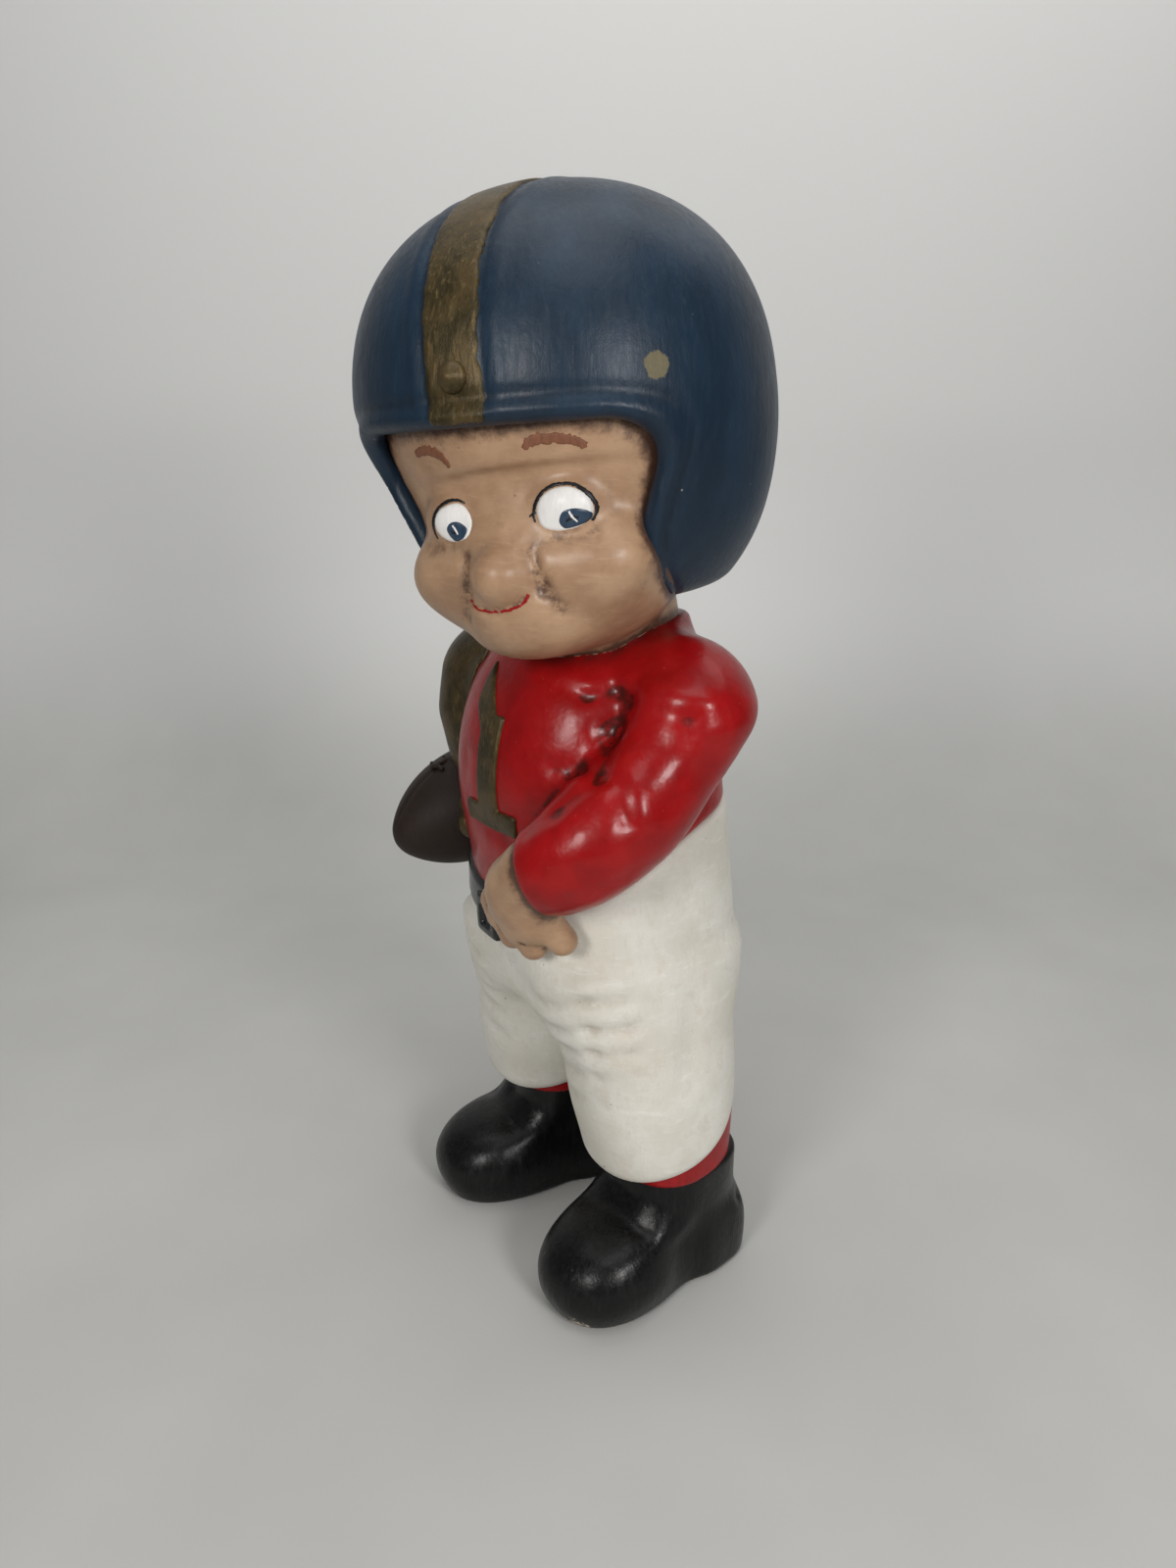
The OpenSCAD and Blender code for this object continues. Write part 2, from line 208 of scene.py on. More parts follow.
def dome(q, inset=0.0):
    """The helmet's full form, which draws in towards the flaps."""
    below = ease(-q[..., 2], 0, 32)
    width = 1 - 0.04 * below - 0.075 * ease(-q[..., 0], 0, 40) * ease(-q[..., 2], -10, 18)
    up = q[..., 2] > 0
    tall = np.where(up, DOME_TOP, DOME_BOTTOM) - inset
    level = ratio(2.1, q[..., 0] / ((DOME_HALF_WIDTH - inset) * width),
                  (q[..., 1] - 2.5 * below) / ((DOME_HALF_DEPTH - inset) * width))
    return (ratio(np.where(up, 2.32, 2.4), level, q[..., 2] / tall) - 1) * (60 - inset)


def brow_line(q):
    """Height above the brow edge, which dips a little to the figure's left and at its ends."""
    return q[..., 2] - (BROW - 0.07 * q[..., 0] - 2.0 * ease(np.abs(q[..., 0]), 34, 50))


def opening_edge(q):
    """Distance from the edge of the face opening, positive on the helmet."""
    angle = np.degrees(np.arctan2(np.abs(q[..., 0]), -q[..., 1]))
    limit, = curve(q[..., 2], OPENING)
    return -join(16.0, -brow_line(q), limit - angle)


def helmet_skin(q):
    """The helmet's outside, with its rolled rim, the grooves by the stripe and the ear bulges."""
    e = opening_edge(q)
    x, z = q[..., 0], q[..., 2]
    d = dome(q)
    d -= 1.0 * bump(e - 2.6, 2.4)                                       # rim
    d += 0.45 * bump(e - 7.2, 1.5)                                      # groove behind the rim
    above = ease(z, -4, 6)
    d += 0.35 * above * bump(np.abs(x) - STRIPE_HALF - 0.5, 0.8)        # grooves beside the stripe
    d -= 0.35 * above * bump(np.abs(x) - STRIPE_HALF - 4.5, 2.0)        # ridges beside the grooves
    for side in (1, -1):
        d -= 1.6 * mound(q, (56 * side, 2, -26), 17)                    # ears
    return d


def helmet(p):
    q = HEAD.inside(p)
    shell = both(1.5, helmet_skin(q), -dome(q, HELMET_THICK))
    return both(4.0, shell, -opening_edge(q), FLAP_END - q[..., 2])


def stripe(p):
    q = HEAD.inside(p)
    x = q[..., 0]
    wobble = 0.25 * np.sin(q[..., 2] * 0.31) + 0.2 * np.sin(q[..., 2] * 0.83 + 1)
    edge = np.abs(x) - STRIPE_HALF - wobble
    skin = helmet_skin(q)
    band = both(0.9, skin - 0.55, edge, -skin - 1.2)
    band = both(1.5, band, 0.6 - opening_edge(q))
    return both(1.5, band, FLAP_END + 1.0 - q[..., 2])


def stud(p):
    q = HEAD.inside(p)
    z = 8.7
    y = -DOME_HALF_DEPTH * (1 - (z / 62.3) ** 2.4) ** (1 / 2.4) - 0.4   # just outside the dome's front
    return join(1.2, blob(q, (0.5, y, z), (4.1, 2.6, 4.1)), blob(q, (0.5, y - 1.2, z), (2.2, 2.2, 2.2)))


# -------------------- head

def face(q):
    """The face in the head's axes."""
    x, y, z = q[..., 0], q[..., 1], q[..., 2]
    m = mirrored(q)
    brow = (ratio(2.3, ratio(2.4, x / 56, (y + 2) / 48.5), (z + 12) / 42) - 1) * 44
    brow = both(14, brow, dome(q, 2.4))
    d = join(9, brow, blob(q, (0, -19, -42.0), (39.0, 36.5, 26.5)))     # jaw
    d = join(6, d, blob(m, (22.5, -36.5, -41.5), (14.5, 12.5, 11.5)))   # cheeks
    d = join(6, d, blob(q, (0, -43.0, -52), (14, 11, 9)))               # lips
    d = join(8, d, blob(q, (0, -38, -58.5), (16, 11, 7.5)))             # chin
    d = join(4, d, blob(m, (17.4, -41.5, -25.5), (9.6, 8.6, 7.6)))      # eyeballs
    d = join(2.5, d, blob(q, (0, -51.5, -42.0), (8.8, 9.6, 8.4)))       # nose
    d = join(4, d, blob(q, (0, -46.5, -33), (4.5, 5.0, 4.5)))           # bridge
    d += 1.3 * fold(m, (10.4, -53, -36), (11.5, -52, -47), 2.2)         # crease beside the nose
    d += 1.2 * fold(m, (12.2, -52, -45), (14.5, -49, -52), 2.6)         # and down past the mouth
    d += 0.8 * fold(m, (13, -52, -33.5), (26, -47, -33.5), 2.8)         # under the eye
    smile = z + 51.0 - 0.030 * (x + 2) ** 2
    d += 0.7 * bump(smile, 1.0) * ease(-np.abs(x + 2), -11, -8) * ease(-y, 20, 30)
    return d


def head(p):
    q = HEAD.inside(p)
    neck = rod(q, (0, 2, -50), (0, 6, -80), 25)
    skull = both(2.0, dome(q, 6.8), -(q[..., 2] + 14))
    return join(5, join(4, face(q), skull), neck)


# -------------------- body

TORSO = [[118, 0, 5, 47, 39], [136, 0, 5, 46, 40], [150, 0, 3.5, 45, 40.5], [165, 0, 1.5, 45.5, 41],
         [180, 0, 0, 45, 40.5], [195, 0, 0.5, 42.5, 39.5], [208, 0, 1.5, 39.5, 36], [219, 0, 3.5, 35, 31],
         [228, 0, 5.5, 30, 26], [238, 0, 7, 26, 22]]
# Arms: x, y, z and radius, from the shoulder to the cuff
LEFT_ARM = [(30, 8, 209, 11), (42, 6, 210, 14.5), (50, 2, 204, 15.0), (48.5, -5, 194, 14.6),
            (47.5, -13, 185.5, 15.8), (47, -20.5, 179.5, 16.2), (46, -29, 173.5, 15.2),
            (43.5, -34, 169, 14.0), (39, -38, 165, 12.8), (34.5, -41, 162.5, 12.2)]
RIGHT_ARM = [(-30, 6, 207, 11), (-42, -1, 208, 15), (-48.5, -8, 202, 15.8), (-50, -10, 190, 14.8),
             (-48.5, -9, 177, 13.5), (-48.5, -3, 165, 13), (-58, 11, 156, 13), (-71, 18, 151, 13),
             (-80, 12, 148, 12)]
HEM_Z, HEM_SLOPE, HEM_BACK = 165.5, 0.66, 0.06    # height at the sides, slope in front and behind


def hem(p):
    """Height above the waist, which is low at the front."""
    y = p[..., 1] - 4
    bend = 6 * np.log1p(np.exp(np.clip((y - 7) / 6, -30, 30)))
    return (p[..., 2] - HEM_Z - HEM_SLOPE * y + (HEM_SLOPE - HEM_BACK) * bend) * 0.84


def collar(p):
    """Height above the neck opening's edge, which follows the head."""
    return HEAD.inside(p)[..., 2] + 63.5


FOLD_DEPTH = 0.62
# Folds of the jersey: from, to, width, and depth as a multiple of FOLD_DEPTH (a negative depth is a ridge)
FOLDS = [
    # the edge of the shoulder pads and the strap beside the collar
    ((23, -26, 215), (30, -21, 212), 2.8, 1.0),
    ((30, -21, 212), (36, -14, 214), 2.8, 1.0),
    ((36, -14, 214), (50, -7, 222), 3.1, 0.7),
    ((21, -25, 217), (30, -20, 215), 3.4, -0.8),
    ((30, -20, 215), (38, -13, 217), 3.4, -0.8),
    ((13, -22, 224), (17, -26, 217), 4.0, 0.6),
    ((-23, -26, 215), (-34, -19, 213), 2.8, 1.0),
    # between the chest and the left arm
    ((41, -15, 212), (39, -19, 203), 4.0, 2.6),
    ((39, -19, 203), (48, -30, 195), 4.0, 3.6),
    ((48, -30, 195), (39, -29, 193), 3.1, 1.5),
    ((39, -29, 193), (29, -32, 191), 3.1, 1.2),
    ((47, -32, 192), (32, -32, 188), 3.4, -0.9),
    ((50, -31, 194), (44, -42, 185), 3.7, 2.1),
    ((44, -42, 185), (37, -46, 178), 3.7, 1.5),
    # the left sleeve
    ((56, -28, 194), (62, -29, 185), 3.1, 1.4),
    ((59, -25, 194), (64, -25, 186), 4.3, -0.9),
    ((54, -31, 189), (58, -32, 181), 4.0, -0.8),
    ((55, -14, 212), (62, -8, 210), 3.7, 1.2),
    ((62, -8, 210), (66, 1, 211), 3.7, 1.0),
    ((53, -12, 216), (64, -2, 215), 4.7, -1.0),
    ((65, -4, 198), (64, -16, 187), 4.7, 0.9),
    ((54, -43, 161), (62, -29, 168), 3.4, 0.8),
    ((51, -47, 170), (59, -39, 169), 3.7, 0.6),
    # the belly
    ((-4, -40, 168), (10, -40, 165), 3.7, 1.2),
    ((10, -40, 165), (30, -42, 168), 3.7, 1.0),
    ((2, -41, 171), (22, -38, 175), 4.3, 0.7),
    ((-12, -40, 186), (-15, -40, 172), 4.0, 0.8),
    ((-6, -42, 163), (-20, -38, 150), 4.7, 1.0),
    ((-1, -42, 160), (-14, -40, 148), 4.3, -1.0),
    # the back
    ((-30, 34, 194), (30, 36, 198), 7.0, 0.7),
    ((0, 36, 218), (0, 40, 194), 6.2, 0.6),
    ((34, 24, 206), (44, 22, 190), 5.4, 1.0),
    ((-34, 24, 206), (-44, 22, 190), 5.4, 1.0),
]


def arm(p, path):
    """A sleeve with a flat cuff."""
    a, b = np.array(path[-2][:3], float), np.array(path[-1][:3], float)
    return both(2.2, limb(p, path), (p - b) @ ((b - a) / norm(b - a)) - 1.0)


def trunk(p):
    return stack(p, TORSO, 2.3)


def jersey(p):
    pads = np.minimum(blob(p, (40, 8, 214), (24, 18, 11), turn("y", 22)),
                      blob(p, (-40, 5, 213), (24, 18, 11), turn("y", -22)))
    torso = both(2.5, join(7, trunk(p), pads), -hem(p))
    arms = np.minimum(arm(p, LEFT_ARM), arm(p, RIGHT_ARM))
    d = join(3.0 + 9.0 * ease(p[..., 2], 190, 212), torso, arms)
    for a, b, width, depth in FOLDS:
        d += FOLD_DEPTH * depth * fold(p, a, b, width)
    return both(2.5, d, collar(p))


PANTS_TOP = [[100, 0, 4, 47.5, 35], [112, 0, 5, 48, 38.5], [126, 0, 5.5, 47.5, 40.5],
             [140, 0, 5, 46, 40.5], [155, 0, 4, 45, 40], [175, 0, 3, 44, 39]]
PANT_LEG = [[44, 33.2, 6.8, 22, 23.2], [50, 33.2, 6.8, 24.2, 25.8], [58, 32.8, 6.4, 25.6, 27.2],
            [70, 31.4, 5.2, 26.6, 28.4], [84, 29.5, 5, 27, 29.5], [98, 27, 4, 26.5, 32],
            [112, 25, 4.5, 25, 35], [126, 22, 5, 25, 37]]
CUFF_SLOPE, CUFF_Z = 0.30, 52.5
THIGH_FOLDS = ((110, 1.0), (100.5, 1.2), (92, 1.1), (83, 0.95), (73, 0.8))      # height and depth


def cuff(p):
    """Height above the trouser cuffs, which are higher at the back."""
    y = p[..., 1] - 2
    return p[..., 2] - CUFF_Z - CUFF_SLOPE * (y - 6) - 0.014 * np.maximum(y, 0) ** 2


def seat(p):
    return stack(p, PANTS_TOP, 2.4)


def trousers(p):
    m = mirrored(p)
    leg = both(6.0, stack(m, PANT_LEG, 2.2), -cuff(p), p[..., 2] - 122)
    d = join(9, leg, both(12.0, seat(p), 98 - p[..., 2]))
    for z, depth in THIGH_FOLDS:
        y = -33 + 0.25 * (110 - z)
        for rise, amount in ((0, depth), (4.7, -0.8 * depth)):          # a fold and the ridge over it
            inner, middle, outer = (22, y, z + rise), (38, y + 6, z + 5.5 + rise), (47, y + 14, z + 7 + rise)
            d += amount * fold(m, inner, middle, 3.6)
            d += amount * fold(m, middle, outer, 3.6)
    d += 1.2 * fold(m, (0, -38, 119), (15, -36, 110), 4.0)              # from the crotch
    d += 0.6 * fold(p, (50, 6, 112), (54, 0, 84), 5.0)                  # down the left side
    d += 1.2 * fold(p, (0, 44, 150), (0, 40, 108), 3.5)                 # the seam behind
    return both(2.0, d, hem(p) + 0.4)


SOCK = [[40, 0, 2, 20.5, 20.5], [52, 0, 1.5, 21, 21.5], [66, 0, 1, 21.5, 22.5]]


def sock(p, side):
    q = foot_axes(side).inside(p)
    return both(1.0, stack(q, SOCK, 2.5), q[..., 2] - 64, 44 - q[..., 2])


SHOE = [[0, 0, -9, 18.5, 36], [3, 0, -9, 20, 38], [9, 0, -9.5, 20.8, 38.8], [16, 0, -8.5, 20.6, 38],
        [24, 0, -4.5, 20, 33.5], [30, 0, 1, 20, 26.5], [36, 0, 4, 20.3, 22], [44, 0, 4.5, 20.8, 20.8],
        [52, 0, 4.5, 21.2, 20.8]]
HEEL = [[-2, 0, 13, 20.4, 16], [14, 0, 13, 20.8, 16.6], [26, 0, 12, 19, 14]]


def shoe(p, side):
    q = foot_axes(side).inside(p)
    m = np.stack([q[..., 0] * side, q[..., 1], q[..., 2]], -1)
    d = stack(q, SHOE, 2.7)
    d = join(7, d, blob(m, (1, -27, 13.5), (20.5, 21.5, 15.5)))         # toe cap
    d = join(5, d, both(6, stack(q, HEEL, 3.2), q[..., 2] - 25))
    d += 2.3 * fold(m, (24, -6, 3), (24, -8, 20), 7.0)                  # the waist of the sole, outside
    d += 1.5 * fold(m, (-24, -4, 6), (-24, -6, 22), 8.0)                # and inside
    d += 1.6 * fold(m, (-9, -23, 27), (12, -21, 28), 4.5)               # dip behind the toe cap
    d -= 1.5 * mound(m, (9, -13, 33), 5.0)                              # two lumps of the lacing
    d -= 1.2 * mound(m, (-6, -12, 33), 5.0)
    d += 1.0 * mound(m, (2, -14.5, 34), 3.6)                            # and the dip between them
    d -= 1.0 * fold(m, (14, -16, 24), (20, -8, 28), 4.0)                # ridge beside the lacing
    d += 0.9 * fold(m, (-16, 22, 22), (16, 22, 22), 3.0)                # crease over the heel
    top = q[..., 2] - 46.5 - 0.03 * (q[..., 1] - 4)
    return both(2.2, d, top, -q[..., 2])


# -------------------- ball, hands, belt

BALL = Axes((-64, -8, 150), turn("x", 16))
BALL_HALF, BALL_RADIUS = 36.8, 21.3


def ball(p):
    q = BALL.inside(p)
    t = np.clip(q[..., 1] / BALL_HALF, -1, 1)
    radius = BALL_RADIUS * (1 - np.abs(t) ** 2.1) ** 0.72
    d = (norm(q[..., [0, 2]]) - radius) * 0.85
    d = both(3.0, d, np.abs(q[..., 1]) - BALL_HALF + 1.0)
    return d + 0.45 * bump(q[..., 0], 0.8) * ease(q[..., 2], 2, 8)      # the seam on top


def laces(p):
    q = BALL.inside(p)
    d = rod(q, (0, -13, 20.6), (0, 13, 20.6), 1.0)
    for y in (-11, -5.5, 0, 5.5, 11):
        d = join(0.8, d, rod(q, (-4, y, 20.3), (4, y, 20.3), 0.9))
    return d


# The left hand's fingers: knuckle and tip
FINGERS = [((11.5, -42.5, 145.5), (11.0, -41, 139.5)), ((18.0, -43.5, 143.5), (18.6, -41, 136.0)),
           ((25.4, -42.0, 142.5), (26.6, -38.6, 134.6)), ((33.0, -38.5, 145), (35.8, -34.0, 138.5))]


def left_hand(p):
    d = limb(p, [(41, -37, 166, 10.2), (35, -41, 162, 10.6), (28, -43.5, 156, 10.8)])
    d = join(6, d, blob(p, (24.5, -42.0, 149), (14.5, 8.4, 12.5), turn("y", 18)))
    for knuckle, tip in FINGERS:
        d = join(3.0, d, rod(p, knuckle, tip, 5.4, 4.8))
    for (knuckle, _), (other, _) in zip(FINGERS[:-1], FINGERS[1:]):
        x, y, z = [(u + v) / 2 for u, v in zip(knuckle, other)]
        d += 1.1 * fold(p, (x, y - 5, z + 2), (x + 1, y - 4, z - 10), 1.5)
    return d


def right_hand(p):
    d = limb(p, [(-77, 15, 150, 10), (-83, 5, 144, 10), (-85, -5, 140, 9)], 5)
    d = join(5, d, blob(p, (-83, -8, 141), (6, 12, 11), turn("y", -35)))
    for y, z in ((-17, 152), (-20, 145), (-20.5, 138), (-18, 131)):
        d = join(2.5, d, limb(p, [(-85, y + 9, z - 1, 5), (-84, y - 2, z, 4.6), (-78, y - 8, z + 1, 4)], 2.5))
    return d


def waist(p):
    return np.minimum(trunk(p), seat(p))


def belt(p):
    """The belt's front, from the ball to the left hand."""
    d = waist(p)
    return both(1.6, d - 1.3, np.abs(hem(p) + 3.5) - 5.2, -d - 2.5, p[..., 1] + 6, p[..., 0] - 22)


def buckle(p):
    q = p - np.array((-6.5, -41.0, 131.0))
    d = waist(p)
    plate = both(1.6, np.abs(q[..., 0]) - 7.0, np.abs(q[..., 2]) - 7.2, d - 2.6, -d - 1.0)
    hole = both(1.0, np.abs(q[..., 0]) - 3.4, np.abs(q[..., 2]) - 3.6, -d + 1.2)
    return both(0.8, plate, -hole)


# -------------------- trims

NUMERAL = (3.0, 184.5, 27.0, 37.0, 10.5)      # middle x and z, width, height and stroke


def numeral(p):
    """A raised figure 1 on the chest."""
    cx, cz, width, height, line = NUMERAL
    x, z = p[..., 0] - cx, p[..., 2] - cz
    stem = both(1.0, np.abs(x) - line / 2, np.abs(z) - height / 2)
    foot = both(1.0, np.abs(x) - width / 2, np.abs(z + height / 2 - 3.6) - 3.6)
    tip = (x + 0.85 * (z - height / 2 + 5.5)) * 0.76
    flag = both(1.0, -tip - 4.2, tip - 4.2, x - 1, -x - width / 2 + 2)
    d = jersey(p)
    return both(0.7, join(0.5, stem, foot, flag), d - 1.0, -d - 1.2, p[..., 1] + 20)


BAND = Axes((-49, -7, 0), turn("z", -8))


def sleeve_band(p):
    """A gold band down the front of the right sleeve, broad at the shoulder, and the lump where it ends."""
    d = jersey(p)
    q = BAND.inside(p)
    z = q[..., 2]
    across = q[..., 0] - 1.5 - 4.5 * ease(z, 185, 205)
    half = 11.5 * ease(z, 158, 205) + 1.5
    band = both(1.0, np.abs(across) - half, z - 221, 160 - z)
    band = both(0.7, band, d - 0.9, -d - 1.2, q[..., 1] - 1)
    lump = join(1.5, blob(p, (-43, -21, 157), (5.0, 5.0, 5.5)), blob(p, (-42.5, -22, 150), (4.6, 4.8, 5.5)))
    return np.minimum(band, both(2, lump, -waist(p) - 1.0))


# -------------------- meshes

CREASE_REACH, HOLLOW_REACH, NEAR_REACH = 1.6, 4.5, 5.0
BORDER_SINK, FILM_DEPTH = 0.05, 0.45      # how far a patch's border and its underside lie in the surface

def sampled(field, points, chunk=250000):
    return np.concatenate([field(points[i:i + chunk]) for i in range(0, len(points), chunk)])


def slope(field, points, step=0.15):
    """Gradient of a field."""
    g = np.empty_like(points)
    for k in range(3):
        h = np.zeros(3)
        h[k] = step
        g[:, k] = (sampled(field, points + h) - sampled(field, points - h)) / (2 * step)
    return g


def settle(field, points, times=3, limit=0.8):
    """Move points onto the surface."""
    for _ in range(times):
        g = slope(field, points)
        length = np.maximum(norm(g), 0.25)
        step = np.clip(sampled(field, points) / length, -limit, limit)
        points = points - (step / length)[:, None] * g
    return points


def hollow_at(field, points, reach):
    """How hollow the surface is at each point, from 0 on a plain or proud place to 1 in a deep crease."""
    total = 0
    for k in range(3):
        h = np.zeros(3)
        h[k] = reach
        total = total + sampled(field, points + h) + sampled(field, points - h)
    return np.clip(-total / reach * 1.2, 0, 1)


def link(name, data):
    thing = bpy.data.objects.new(name, data)
    bpy.context.scene.collection.objects.link(thing)
    return thing


def new_object(name, verts, faces, material, nodes=(), marks=None):
    """An object in metres from vertices in figure millimetres, with marks as vertex attributes."""
    mesh = bpy.data.meshes.new(name)
    mesh.from_pydata(world(verts).tolist(), [], faces)
    mesh.validate()
    mesh.update()
    for key, values in (marks or {}).items():
        mesh.attributes.new(key, "FLOAT", "POINT").data.foreach_set("value", values.astype(np.float32))
    mesh.shade_smooth()
    mesh.materials.append(material)
    piece = link(name, mesh)
    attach(piece, "root")
    if nodes:
        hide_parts(*nodes)
    return piece


def sculpt(name, field, box, voxel, material, nodes=(), near=None, worn=None):
    """Mesh of a field inside a box. near maps mark names to fields whose closeness is kept as marks, and
    worn gives how much of the marks of creases is kept at each point."""
    voxel *= 1.0
    low, high = np.array(box[0], float) - 2 * voxel, np.array(box[1], float) + 2 * voxel
    counts = np.ceil((high - low) / voxel).astype(int) + 1
    ticks = [low[k] + voxel * np.arange(counts[k]) for k in range(3)]
    grid = np.stack(np.meshgrid(*ticks, indexing="ij"), -1).reshape(-1, 3)
    values = sampled(field, grid) / voxel
    shell = 3.0                           # voxels on each side of the surface that keep their own value
    volume = openvdb.FloatGrid(shell)
    volume.copyFromArray(np.clip(values, -shell, shell).reshape(counts).astype(np.float32))
    points, tris, quads = volume.convertToPolygons(isovalue=0.0, adaptivity=0.0)
    points = settle(field, low + np.asarray(points, float) * voxel)
    faces = [tuple(f) for f in quads[:, ::-1].tolist()] + [tuple(f) for f in tris[:, ::-1].tolist()]
    kept = worn(points) if worn else 1.0
    marks = {"crease": kept * hollow_at(field, points, CREASE_REACH),
             "hollow": kept * hollow_at(field, points, HOLLOW_REACH)}
    for key, other in (near or {}).items():
        marks[key] = np.exp(-np.maximum(sampled(other, points), 0) / NEAR_REACH)
    new_object(name, points, faces, material, nodes, marks)


# -------------------- painted patches

def cast(field, axes, x, z, start=-85.0):
    """Where rays from the front of an Axes frame, at its x and z, meet a surface."""
    q = np.stack([x, np.full_like(x, start), z], -1).astype(float)
    for _ in range(60):
        q[:, 1] += np.clip(sampled(field, axes.out(q)) * 0.8, -4, 4)
    return axes.out(q)


def lens(name, field, points, rows, columns, closed, thick, material):
    """A thin closed film of paint over a grid of surface points, whose rows may each close on themselves.
    Its border sinks into the surface."""
    g = slope(field, points)
    out = g / np.maximum(norm(g), 1e-6)[:, None]
    count = rows * columns
    lift = np.full((rows, columns), thick)
    lift[-1, :] = -BORDER_SINK
    if not closed:
        lift[0, :] = lift[:, 0] = lift[:, -1] = -BORDER_SINK
    top = points + lift.reshape(-1, 1) * out
    under = points - FILM_DEPTH * out
    faces = []
    for i in range(rows - 1):
        for j in range(columns if closed else columns - 1):
            a, b = i * columns + j, i * columns + (j + 1) % columns
            faces.append((a, b, b + columns, a + columns))
            faces.append((a + count, a + columns + count, b + columns + count, b + count))
    if closed:
        faces.append(tuple(reversed(range(columns))))
        faces.append(tuple(range(count, count + columns)))
        ring = [(rows - 1) * columns + j for j in range(columns)]
    else:
        ring = list(range(columns)) + [i * columns + columns - 1 for i in range(1, rows)] \
            + [(rows - 1) * columns + j for j in range(columns - 2, -1, -1)] \
            + [i * columns for i in range(rows - 2, 0, -1)]
    for k, a in enumerate(ring):
        b = ring[(k + 1) % len(ring)]
        faces.append((a, a + count, b + count, b) if closed else (b, b + count, a + count, a))
    make_outward(new_object(name, np.concatenate([top, under]), faces, material))


def make_outward(piece):
    """Turn every face of a closed mesh outwards."""
    b = bmesh.new()
    b.from_mesh(piece.data)
    bmesh.ops.recalc_face_normals(b, faces=b.faces)
    b.to_mesh(piece.data)
    b.free()


def patch(name, field, axes, outline, thick, material, rings=7):
    """A painted patch inside an outline of (x, z) points, curved round its middle."""
    fine = smooth(outline, 6, closed=True)
    middle = fine.mean(0)
    xz = np.concatenate([middle + (fine - middle) * r for r in np.linspace(0.12, 1, rings)])
    points = cast(field, axes, xz[:, 0], xz[:, 1])
    lens(name, field, points, rings, len(fine), True, thick, material)


def stroke(name, field, axes, path, thick, material, seed):
    """A brush stroke with ragged edges along rows of (x, z, half width)."""
    fine = smooth(path, 7)
    ways = np.gradient(fine[:, :2], axis=0)
    across = np.stack([-ways[:, 1], ways[:, 0]], -1) / np.maximum(norm(ways), 1e-6)[:, None]
    rng = np.random.default_rng(seed)
    ragged = 1 + 0.16 * rng.standard_normal((len(fine), 2))
    columns = np.linspace(-1, 1, 7)
    xz = np.array([[f[:2] + w * c * f[2] * r[int(c > 0)] for c in columns]
                   for f, w, r in zip(fine, across, ragged)]).reshape(-1, 2)
    points = cast(field, axes, xz[:, 0], xz[:, 1])
    lens(name, field, points, len(fine), len(columns), False, thick, material)


# -------------------- materials

